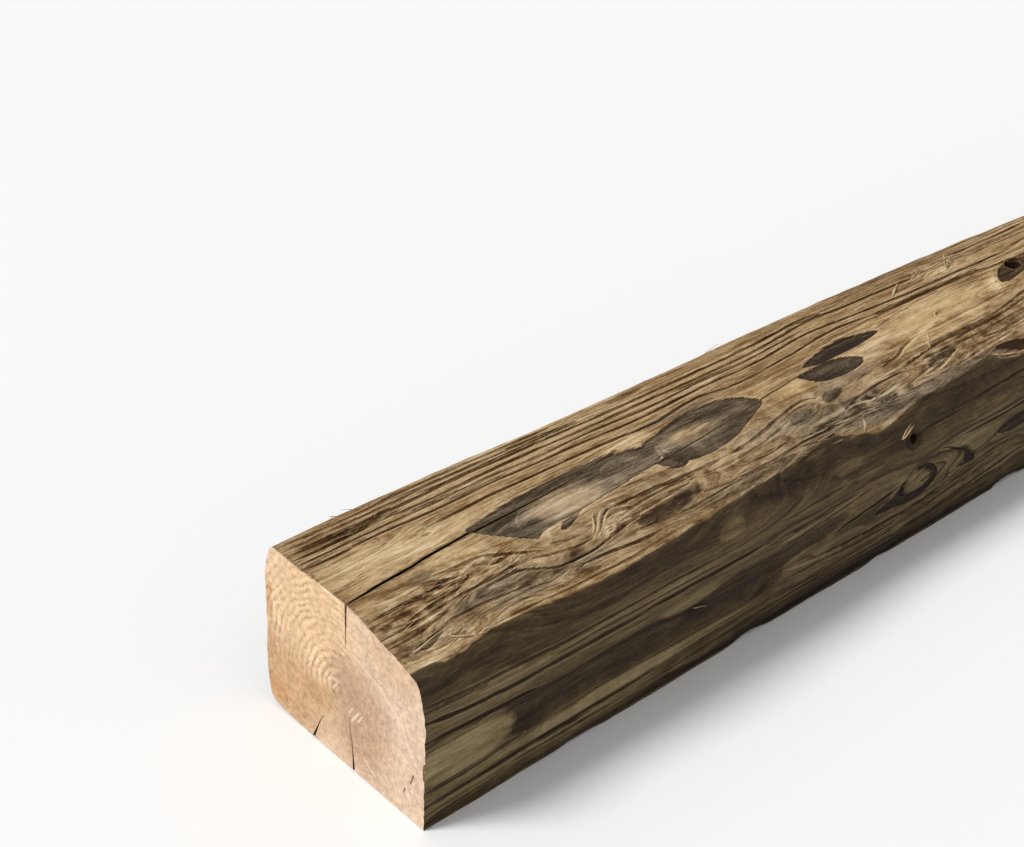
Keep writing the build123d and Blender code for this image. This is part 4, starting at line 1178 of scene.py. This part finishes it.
    standing = addNode(tree, "ShaderNodeMath", [ridge, painted["relief"]], operation="MULTIPLY")
    standing = addNode(tree, "ShaderNodeMath", [groove, s["grooveBump"], standing], operation="MULTIPLY_ADD")
    raised = addNode(tree, "ShaderNodeMath", [fibre, grain["streak"]], operation="ADD")
    raised = addNode(tree, "ShaderNodeMath", [thread, s["threadBump"], raised], operation="MULTIPLY_ADD")
    bump = addNode(tree, "ShaderNodeBump", {"Height": standing, "Strength": s["bump"], "Distance": s["ringBump"]})
    bump = addNode(tree, "ShaderNodeBump", {"Height": raised, "Strength": s["bump"], "Distance": s["fibreBump"],
                                            "Normal": bump})
    fillInputs(surface, {"Base Color": colour, "Normal": bump, "Roughness": s["roughness"],
                         "Specular IOR Level": s["specular"]})
    return material


sawn = {
    "pale": "#e5c8ac",     # the front third
    "cream": "#edc89e",    # from the heart to the upper back corner
    "pink": "#c49e80",     # round the heart and below it
    "straw": "#d0a87c",    # the lower back corner
    "tan": "#b8925f",
    "rust": "#b5773c",
    # Dark lines; along the checks they are painted shade in cracks too fine to cut
    "darkLine": "#6b4423",
    # Pale streaks and scratches, and painted highlights
    "paleStreakAndGlint": "#f7dfbd",
    "ringStops": [(0.0, 0.0), (0.30, 0.75), (0.55, 1.0), (0.80, 0.5), (1.0, 0.0)],
    "ringSpacing": 4.7,    # mm
    "ringWaver": (11.0, 4.5),  # mm, in long and in short waves
    "grain": {             # mm long, mm across, detail, roughness, shift
        "fuzz": (2.2, 2.2, 2, 0.7, 2.0),
        "nap": (5, 5, 3, 0.6, 9.0),
        "cloud": (30, 30, 3, 0.55, 5.0),
        "waves": (34, 34, 2, 0.55, 0.0),
        "ripple": (9, 9, 2, 0.55, 4.0),
    },
    "grainTone": (0.85, 1.05, 0.50),  # how far the fuzz, the nap and the cloud lighten and darken
    "ringMiddle": 0.6,
    "ringTone": 0.60,
    "light": (0.75, 0.52),     # what the tone is multiplied by, and what is added
    "bump": 0.8,
    "bumpDistance": 0.0006,  # m
    "roughness": 0.8,
    "specular": 0.15,
}
# Soft places on the sawn end: y, z, reach across, reach up, strength, colour
endPlaces = [
    (108, 88, 52, 44, 1.0, "cream"), (86, 112, 22, 10, 0.6, "cream"), (60, 42, 32, 42, 0.8, "pink"),
    (128, 26, 42, 34, 0.9, "straw"), (76, 66, 14, 20, 0.5, "pink"), (97, 37, 15, 10, 0.5, "tan"),
    (86, 46, 8, 6, 0.35, "tan"), (148, 80, 5, 14, 0.45, "rust"), (144.5, 88, 2.2, 1.8, 0.7, "rust"),
    (142, 14, 14, 9, 0.35, "rust"), (146, 55, 6, 22, 0.25, "rust"), (30, 100, 26, 16, 0.4, "straw"),
]
# Thin marks on it: from and to as y, z, half width, strength, colour
endMarks = [
    # The dark lines that carry on the checks are painted shade in cracks too fine to cut
    ((72, 119), (71.4, 104), 0.6, 0.8, "darkLine"), ((71.6, 106), (71.8, 88), 0.35, 0.7, "darkLine"),
    ((66, 18), (69, 38), 0.35, 0.6, "darkLine"), ((98, 15), (93.5, 23), 0.25, 0.5, "darkLine"),
    ((10, 35), (12.5, 27.5), 0.5, 0.8, "darkLine"), ((17, 20.5), (18.5, 17), 0.5, 0.7, "darkLine"),
    ((0.6, 49), (1.4, 45), 0.8, 0.95, "darkLine"), ((1.2, 43), (0.8, 38), 0.9, 0.95, "darkLine"),
    ((49, 113), (44, 105), 0.7, 0.5, "tan"), ((44, 105), (39, 107), 0.5, 0.4, "tan"),
    # The pale marks are partly streaks and scratches, partly painted highlights
    ((74, 90), (40, 79), 0.6, 0.4, "paleStreakAndGlint"), ((40, 79), (21, 64), 0.7, 0.45, "paleStreakAndGlint"),
    ((21, 64), (12, 48), 0.6, 0.4, "paleStreakAndGlint"), ((60, 47), (66, 38), 0.5, 0.7, "paleStreakAndGlint"),
    ((56.5, 47), (60, 41), 0.4, 0.6, "paleStreakAndGlint"), ((65, 48), (69, 42), 0.4, 0.5, "paleStreakAndGlint"),
    ((79, 58), (84, 51), 0.6, 0.5, "paleStreakAndGlint"), ((84, 62), (89, 54), 0.5, 0.5, "paleStreakAndGlint"),
    ((96, 118.5), (80, 118), 0.7, 0.6, "paleStreakAndGlint"), ((55, 16), (45, 10), 0.4, 0.4, "paleStreakAndGlint"),
    ((17, 24), (12, 12), 0.4, 0.4, "paleStreakAndGlint"), ((27, 15), (22, 6), 0.4, 0.35, "paleStreakAndGlint"),
    ((152, 52), (141, 50), 0.4, 0.4, "rust"), ((131, 12), (130, 5), 0.3, 0.4, "darkLine"),
    ((100, 71), (107, 58), 0.7, 0.5, "paleStreakAndGlint"),
]


def sawnEndGrain(s):
    # Fresh saw cut across the fibres: straw to pink with a fuzz of cut fibres, and rings that
    # stand up between the heart and the upper back corner
    material, tree, surface = startMaterial("sawn end grain")
    coordinates = addNode(tree, "ShaderNodeTexCoord").outputs["Object"]
    # y and z in mm from the front side and the floor
    place = addNode(tree, "ShaderNodeVectorMath", [coordinates, (0, 1 / mm, 1 / mm), (0, width / 2, 0)],
                    operation="MULTIPLY_ADD")

    def spot(py, pz, reachY, reachZ):
        away = addNode(tree, "ShaderNodeVectorMath", [place, (0, py, pz)], operation="SUBTRACT")
        away = addNode(tree, "ShaderNodeVectorMath", [away, (1, reachY, reachZ)], operation="DIVIDE")
        away = addNode(tree, "ShaderNodeVectorMath", [away], operation="LENGTH")
        return addNode(tree, "ShaderNodeMapRange", [away, 1.35, 0.45], **eased)

    def mark(start, end, half):
        run = Vector((0, end[0] - start[0], end[1] - start[1]))
        away = addNode(tree, "ShaderNodeVectorMath", [place, (0, *start)], operation="SUBTRACT")
        share = addNode(tree, "ShaderNodeVectorMath", [away, run], operation="DOT_PRODUCT")
        share = addNode(tree, "ShaderNodeMath", [share, run.length_squared], operation="DIVIDE", use_clamp=True)
        onLine = addNode(tree, "ShaderNodeVectorMath", [run, share], operation="MULTIPLY")
        away = addNode(tree, "ShaderNodeVectorMath", [away, onLine], operation="SUBTRACT")
        away = addNode(tree, "ShaderNodeVectorMath", [away], operation="LENGTH")
        return addNode(tree, "ShaderNodeMapRange", [away, half + 0.6, half - 0.2], **eased)

    def tint(colour, shape, amount, name):
        amount = addNode(tree, "ShaderNodeMath", [shape, amount], operation="MULTIPLY")
        return addNode(tree, "ShaderNodeMix", [amount, colour, hexToLinear(s[name])], data_type="RGBA")

    fuzz, nap, cloud, waves, ripple = (grainNoise(tree, coordinates, *sizes) for sizes in s["grain"].values())
    heart = (0, rings["pithY"], rings["pithZ"])
    fromHeart = addNode(tree, "ShaderNodeVectorMath", [place, heart], operation="SUBTRACT")
    radius = addNode(tree, "ShaderNodeVectorMath", [place, heart], operation="DISTANCE")
    toCorner = addNode(tree, "ShaderNodeVectorMath", [fromHeart, (0, 0.707, 0.707)], operation="DOT_PRODUCT")
    bent = vary(tree, radius, s["ringWaver"], waves, ripple)
    phase = addNode(tree, "ShaderNodeMath", [bent, s["ringSpacing"]], operation="DIVIDE")
    phase = addNode(tree, "ShaderNodeMath", [phase], operation="FRACT")
    ring = setStops(addNode(tree, "ShaderNodeValToRGB", [phase]), s["ringStops"], "EASE")

    # The rings show towards the upper back corner, less far out, and in patches
    clear = addNode(tree, "ShaderNodeMath", [toCorner, radius], operation="DIVIDE")
    clear = addNode(tree, "ShaderNodeMapRange", [clear, 0.35, 0.95, 0.12, 1.0], **eased)
    for row in ((radius, 95, 50, 0.40, 1.0), (cloud, 0.38, 0.62, 0.25, 1.15)):
        share = addNode(tree, "ShaderNodeMapRange", row, **eased)
        clear = addNode(tree, "ShaderNodeMath", [clear, share], operation="MULTIPLY")
    standing = addNode(tree, "ShaderNodeMath", [ring, s["ringMiddle"]], operation="SUBTRACT")
    amount = addNode(tree, "ShaderNodeMath", [clear, s["ringTone"]], operation="MULTIPLY")
    level = addNode(tree, "ShaderNodeMath", [standing, amount, 0.5], operation="MULTIPLY_ADD")
    level = vary(tree, level, s["grainTone"], fuzz, nap, cloud)

    colour = hexToLinear(s["pale"])
    for *oval, amount, name in endPlaces:
        colour = tint(colour, spot(*oval), amount, name)
    light = addNode(tree, "ShaderNodeMath", [level, *s["light"]], operation="MULTIPLY_ADD")
    colour = addNode(tree, "ShaderNodeMix", [1.0, colour, light], data_type="RGBA", blend_type="MULTIPLY")
    for *line, amount, name in endMarks:
        colour = tint(colour, mark(*line), amount, name)
    standing = addNode(tree, "ShaderNodeMath", [ring, clear], operation="MULTIPLY")
    raised = addNode(tree, "ShaderNodeMath", [fuzz, nap], operation="ADD")
    raised = addNode(tree, "ShaderNodeMath", [standing, 1.1, raised], operation="MULTIPLY_ADD")
    bump = addNode(tree, "ShaderNodeBump", {"Height": raised, "Strength": s["bump"], "Distance": s["bumpDistance"]})
    fillInputs(surface, {"Base Color": colour, "Normal": bump, "Roughness": s["roughness"],
                         "Specular IOR Level": s["specular"]})
    return material


checkWall = {
    "colours": [(0.2, "#160e07"), (0.6, "#2c1d0d"), (0.9, "#48331a")],
    "streak": (30, 2.0, 3),
    "roughness": 0.95,
    "specular": 0.1,
}


def checkWood(s):
    # The walls of a check: streaked from near-black to dark brown
    material, tree, surface = startMaterial("dark wood inside checks")
    coordinates = addNode(tree, "ShaderNodeTexCoord").outputs["Object"]
    streak = grainNoise(tree, coordinates, *s["streak"])
    colour = setStops(addNode(tree, "ShaderNodeValToRGB", [streak]), s["colours"])
    fillInputs(surface, {"Base Color": colour, "Roughness": s["roughness"], "Specular IOR Level": s["specular"]})
    return material


fibreLooks = {
    "colours": [(0.25, "#937a58"), (0.5, "#c2a87f"), (0.75, "#e4cfaa")],
    "patchy": (14, 5, 3),
    "ribbed": (6, 0.5),
    "bump": 0.6,
    "bumpDistance": 0.0003,  # m
    "roughness": 0.85,
    "specular": 0.2,
}


def splitFibres(s):
    # Splinters and hairs raised from the face: drier and paler than the wood under them
    material, tree, surface = startMaterial("split spruce fibres")
    coordinates = addNode(tree, "ShaderNodeTexCoord").outputs["Object"]
    patchy = grainNoise(tree, coordinates, *s["patchy"])
    ribbed = grainNoise(tree, coordinates, *s["ribbed"])
    colour = setStops(addNode(tree, "ShaderNodeValToRGB", [patchy]), s["colours"])
    bump = addNode(tree, "ShaderNodeBump", {"Height": ribbed, "Strength": s["bump"], "Distance": s["bumpDistance"]})
    fillInputs(surface, {"Base Color": colour, "Normal": bump, "Roughness": s["roughness"],
                         "Specular IOR Level": s["specular"]})
    return material


weathered = weatheredSpruce(spruce)
endGrain = sawnEndGrain(sawn)
insideChecks = checkWood(checkWall)
fibreWood = splitFibres(fibreLooks)

print("relief")


def newTree(name, inputs):
    # An empty tree with its named inputs, which bake fills
    tree = bpy.data.node_groups.new(name, "GeometryNodeTree")
    for way in ("INPUT", "OUTPUT"):
        tree.interface.new_socket("Geometry", in_out=way, socket_type="NodeSocketGeometry")
    for label, kind in inputs.items():
        tree.interface.new_socket(label, in_out="INPUT", socket_type="NodeSocket" + kind)
    return tree, addNode(tree, "NodeGroupInput").outputs


def reliefTree():
    # Presses the rings, fibres and torn places into the skin, then opens the checks
    tree, start = newTree("worn relief", {
        "Groove depth": "Float", "Fibre depth": "Float", "Fibre long": "Float", "Fibre across": "Float",
        "Check tools": "Object", "Weathered face": "Material", "Sawn end": "Material", "Check wall": "Material",
    })
    kinds = {"ringPhase": "FLOAT", "relief": "FLOAT", "flow": "FLOAT", "press": "FLOAT",
             "outward": "FLOAT_VECTOR", "sawn": "BOOLEAN", "cut": "BOOLEAN"}
    painted = {name: addNode(tree, "GeometryNodeInputNamedAttribute", [name], data_type=kind)
               for name, kind in kinds.items()}
    share = addNode(tree, "ShaderNodeMath", [painted["ringPhase"]], operation="FRACT")
    after = addNode(tree, "ShaderNodeMapRange", [share, 0.05, 0.42, 1.0, 0.0], **eased)
    before = addNode(tree, "ShaderNodeMapRange", [share, 0.88, 1.0], **eased)
    groove = addNode(tree, "ShaderNodeMath", [after, before], operation="MAXIMUM")
    groove = addNode(tree, "ShaderNodeMath", [groove, painted["relief"]], operation="MULTIPLY")
    apart = addNode(tree, "ShaderNodeSeparateXYZ", [addNode(tree, "GeometryNodeInputPosition")])
    flow = addNode(tree, "ShaderNodeMath", [painted["flow"], mm], operation="MULTIPLY")
    drawnX = addNode(tree, "ShaderNodeMath", [apart.outputs["X"], start["Fibre long"]], operation="DIVIDE")
    drawnY = addNode(tree, "ShaderNodeMath", [flow, start["Fibre across"]], operation="DIVIDE")
    drawn = addNode(tree, "ShaderNodeCombineXYZ", [drawnX, drawnY])
    fibre = addNode(tree, "ShaderNodeTexNoise", {"Vector": drawn, "Scale": 1.0, "Detail": 2.0})
    fibre = addNode(tree, "ShaderNodeMapRange", [fibre, 0.35, 0.65], **eased)
    depth = addNode(tree, "ShaderNodeMath", [groove, start["Groove depth"]], operation="MULTIPLY")
    depth = addNode(tree, "ShaderNodeMath", [fibre, start["Fibre depth"], depth], operation="MULTIPLY_ADD")
    depth = addNode(tree, "ShaderNodeMath", [depth, painted["press"]], operation="ADD")
    depth = addNode(tree, "ShaderNodeMath", [depth, -1.0], operation="MULTIPLY")
    inward = addNode(tree, "ShaderNodeVectorMath", [painted["outward"], depth], operation="SCALE")
    made = addNode(tree, "GeometryNodeSetPosition", {"Geometry": start["Geometry"], "Offset": inward})
    tools = addNode(tree, "GeometryNodeObjectInfo", {"Object": start["Check tools"]}).outputs["Geometry"]
    made = addNode(tree, "GeometryNodeMeshBoolean", [made, tools], operation="DIFFERENCE", solver="MANIFOLD")
    made = addNode(tree, "GeometryNodeRealizeInstances", [made])
    for selection, finish in ((True, "Weathered face"), (painted["sawn"], "Sawn end"), (painted["cut"], "Check wall")):
        made = addNode(tree, "GeometryNodeSetMaterial", [made, selection, start[finish]])
    addNode(tree, "NodeGroupOutput", [made])
    return tree


def bake(obj, tree, values):
    # Runs a tree on an object and keeps its result as a plain mesh
    modifier = obj.modifiers.new("tree", "NODES")
    modifier.node_group = tree
    named = {item.name: item.identifier for item in tree.interface.items_tree if item.in_out == "INPUT"}
    for label, value in values.items():
        modifier[named[label]] = value
    graph = bpy.context.evaluated_depsgraph_get()
    made = bpy.data.meshes.new_from_object(obj.evaluated_get(graph), depsgraph=graph)
    obj.modifiers.remove(modifier)
    obj.data = made


def triangles(obj):
    return sum(len(p.vertices) - 2 for p in obj.data.polygons)


beamPiece = makeBeamMesh()
beamPiece.data.materials.append(weathered)
checkTools = makeCheckTools(cutters)
checkTools.data.materials.append(insideChecks)
bake(beamPiece, reliefTree(), {
    "Groove depth": spruce["grooveDepth"] * mm,
    "Fibre depth": spruce["fibreDepth"] * mm,
    "Fibre long": spruce["fibreLong"] * mm,
    "Fibre across": spruce["fibreAcross"] * mm,
    "Check tools": checkTools,
    "Weathered face": weathered,
    "Sawn end": endGrain,
    "Check wall": insideChecks,
})
bpy.data.objects.remove(checkTools)
beamPiece.data.shade_smooth()
beamPiece.data.set_sharp_from_angle(angle=math.radians(38))
print("beam triangles", triangles(beamPiece), "materials", [m.name for m in beamPiece.data.materials])
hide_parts("timber_beam")
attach(beamPiece, "root")

print("loose fibres")
splinters = {
    "thickness": 1.0,   # times each fibre's own width in mm
    "sides": 4,
    "seed": 23,
    "perPlace": 24,     # small ones in each torn place
    "long": (5, 20),
    "wide": (0.25, 0.6),
    "middle": (0.2, 0.7),  # lift
    "tip": (0.3, 1.6),
    "endFuzz": 60,      # along the sawn end's upper edge
    "endLong": (2, 4.5),
    "endWide": (0.2, 0.45),
    "below": -0.9,      # mm that a root starts under the face
    "taper": ([0, 0.3, 0.8, 1], [0.8, 1.0, 0.6, 0.12]),
    "highest": 2.5,     # mm over the top
    "widest": 2,        # mm past the sides
}
# Fibres seen one by one: width, lift at the middle and at the tip in mm, path as x, girth
drawnFibres = [
    (0.5, 1.5, 3.0, [(62, 259), (54, 254), (45, 251), (43, 246), (51, 241)]),
    (0.4, 1.2, 2.5, [(70, 256), (60, 252), (52, 250)]), (0.6, 1.0, 2.5, [(190, 233), (205, 237), (222, 238)]),
    (0.5, 1.5, 3.5, [(372, 249), (390, 251), (402, 256)]), (2.2, 0.8, 1.2, [(556, 220), (565, 225), (576, 230)]),
    (2.2, 0.8, 1.6, [(553, 173), (555, 179), (558, 183), (567, 185)]),
    (1.6, 0.6, 1.0, [(518, 157), (524, 163), (531, 171)]), (0.9, 0.8, 1.4, [(590, 228), (600, 232), (612, 236)]),
    (0.9, 0.8, 1.8, [(630, 223), (638, 231), (649, 240)]), (0.8, 1.0, 2.0, [(634, 226), (645, 232), (655, 235)]),
    (2.4, 1.5, 1.0, [(156, 140), (165, 143.5), (170, 149), (176, 154), (184, 156), (190, 153)]),
    (2.0, 1.3, 0.6, [(170, 144), (176, 150), (184, 152.5), (193, 149.5), (204, 148.5)]),
    (1.6, 1.0, 0.8, [(160, 143.5), (166, 148.5), (169, 154), (175, 156.5)]),
    (1.5, 0.8, 0.5, [(180, 143.5), (196, 145), (215, 146.5), (236, 146.5), (252, 144.5)]),
    (2.0, 0.9, 0.9, [(52, 116), (57, 118.5), (62, 116.5)]),
    (1.7, 0.9, 0.6, [(35, 134), (36, 128), (40, 122.5), (48, 117.5)]),
    (1.4, 0.8, 0.6, [(8, 129), (17, 130.5), (26, 134), (36, 135)]),
    (1.3, 0.9, 1.8, [(434, 91), (441, 95), (449, 99)]), (0.9, 0.9, 1.4, [(434, 92), (439, 97), (446, 100.5)]),
    (1.4, 0.8, 1.5, [(563, 127), (570, 121), (584, 115), (596, 112)]),
    (0.8, 0.8, 1.5, [(28, 118), (42, 124), (58, 131)]), (0.7, 0.8, 1.5, [(34, 126), (46, 129), (62, 130)]),
    (0.6, 0.8, 1.5, [(14, 147), (30, 151), (50, 151)]), (1.2, 0.6, 1.0, [(300, 141), (320, 139.5), (338, 143)]),
    (0.8, 0.8, 1.2, [(452, 207), (470, 209), (492, 208)]), (0.8, 0.8, 1.2, [(104, 222), (130, 223.5), (152, 223)]),
    (0.9, 0.6, 1.0, [(222, 50), (229, 49), (234, 47)]),
]


def chanceFibres(s):
    # Short ones in the torn places, and a fuzz of cut fibres along the sawn end's edges
    chance = np.random.default_rng(s["seed"])
    rows = []
    for cx, cg, reachAlong, reachAcross, value in tornPlaces:
        for _ in range(round(s["perPlace"] * value)):
            x = np.clip(cx + chance.normal(0, 0.5 * reachAlong), 4, length - 30)
            g = cg + chance.normal(0, 0.45 * reachAcross)
            long, lean = chance.uniform(*s["long"]) * chance.choice([-1, 1]), chance.normal(0, 0.09)
            bow = chance.normal(0, 0.8)
            path = [(x, g), (x + 0.35 * long, g + 0.35 * lean * long + bow),
                    (x + 0.7 * long, g + 0.7 * lean * long + bow), (x + long, g + lean * long)]
            rows.append((*(chance.uniform(*s[key]) for key in ("wide", "middle", "tip")), path))
    for _ in range(s["endFuzz"]):
        g = chance.choice([chance.uniform(200, 236), chance.uniform(116, 240)])
        x, long = chance.uniform(1, 3), chance.uniform(*s["endLong"])
        path = [(x, g), (x - 0.5 * long, g + chance.normal(0, 0.7)), (x - long, g + chance.normal(0, 1.3))]
        rows.append((chance.uniform(*s["endWide"]), chance.uniform(-0.3, 0.2), chance.uniform(-0.8, 0.4), path))
    return rows


def makeFibreLines(rows, s):
    # Each fibre is an open line on the worn face, rising from its root to its tip
    points, edges, thickness = [], [], []
    for wide, middle, tip, path in rows:
        p, run = measuredLine(path, 1)
        share = np.linspace(0, 1, 6 if run[-1] < 20 else 9)
        x, g = np.interp(share * run[-1], run, p[:, 0]), np.interp(share * run[-1], run, p[:, 1])
        if path[0][0] > 3:
            x = np.clip(x, 1, length - 1)
        lift = np.interp(share, [0, 0.2, 0.6, 1], [s["below"], 0.2, middle, tip]) - skinAt(pressed, x, g)
        y = np.clip(skinAt(skinY, x, g) + lift * skinAt(outY, x, g), -s["widest"], width + s["widest"])
        z = np.clip(skinAt(skinZ, x, g) + lift * skinAt(outZ, x, g), 1, height + s["highest"])
        first = len(points)
        points += toFrame(x, y, z).tolist()
        edges += [(first + i, first + i + 1) for i in range(len(x) - 1)]
        thickness += (wide * mm * np.interp(share, *s["taper"])).tolist()
    mesh = bpy.data.meshes.new("fibre_lines")
    mesh.from_pydata(points, edges, [])
    addAttribute(mesh, "thickness", thickness)
    return addObject("loose_fibres", mesh)


def fibreTree():
    # Turns each line into a tapered strand
    tree, start = newTree("loose fibres", {"Thickness": "Float", "Sides": "Int", "Fibre wood": "Material"})
    wide = addNode(tree, "GeometryNodeInputNamedAttribute", ["thickness"], data_type="FLOAT")
    wide = addNode(tree, "ShaderNodeMath", [wide, start["Thickness"]], operation="MULTIPLY")
    lines = addNode(tree, "GeometryNodeMeshToCurve", {"Mesh": start["Geometry"]})
    section = addNode(tree, "GeometryNodeCurvePrimitiveCircle", {"Resolution": start["Sides"], "Radius": 0.5})
    made = addNode(tree, "GeometryNodeCurveToMesh", {
        "Curve": lines, "Profile Curve": section, "Fill Caps": True, "Scale": wide})
    made = addNode(tree, "GeometryNodeRealizeInstances", [made])
    made = addNode(tree, "GeometryNodeSetMaterial", [made, True, start["Fibre wood"]])
    addNode(tree, "NodeGroupOutput", [made])
    return tree


fibrePiece = makeFibreLines(drawnFibres + chanceFibres(splinters), splinters)
fibrePiece.data.materials.append(fibreWood)
bake(fibrePiece, fibreTree(), {
    "Thickness": splinters["thickness"],
    "Sides": splinters["sides"],
    "Fibre wood": fibreWood,
})
faceOutward(fibrePiece.data)
fibrePiece.data.shade_smooth()
print("fibre triangles", triangles(fibrePiece))
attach(fibrePiece, "root")

print("floor and light")
studio = {
    "sunFrom": (-0.60, 0.32, 0.73),  # towards the light, from behind the left of the sawn end
    "sunAngle": 19,                  # degrees across, which makes its shadows soft
    "sun": 2.35,                     # W/m2
    "sky": 0.46,
    "skyColour": "#ffffff",
    "floor": "#fafafa",
    "floorRoughness": 0.9,
    "floorReach": 20,                # m
}


def paleFloor(s):
    material, tree, surface = startMaterial("pale studio floor")
    fillInputs(surface, {"Base Color": hexToLinear(s["floor"]), "Roughness": s["floorRoughness"]})
    mesh = bpy.data.meshes.new("floor")
    r = s["floorReach"]
    mesh.from_pydata([(-r, -r, 0), (r, -r, 0), (r, r, 0), (-r, r, 0)], [], [(0, 1, 2, 3)])
    mesh.materials.append(material)
    obj = addObject("floor", mesh)


def softSun(s):
    data = bpy.data.lights.new("soft sun", "SUN")
    data.energy = s["sun"]
    data.angle = math.radians(s["sunAngle"])
    obj = addObject("soft sun", data)
    obj.rotation_mode = "QUATERNION"
    obj.rotation_quaternion = Vector(s["sunFrom"]).to_track_quat("Z", "Y")


def evenSky(s):
    world = bpy.data.worlds.new("studio")
    world.use_nodes = True
    fillInputs(world.node_tree.nodes["Background"], {"Color": hexToLinear(s["skyColour"]), "Strength": s["sky"]})
    scene.world = world


paleFloor(studio)
softSun(studio)
evenSky(studio)
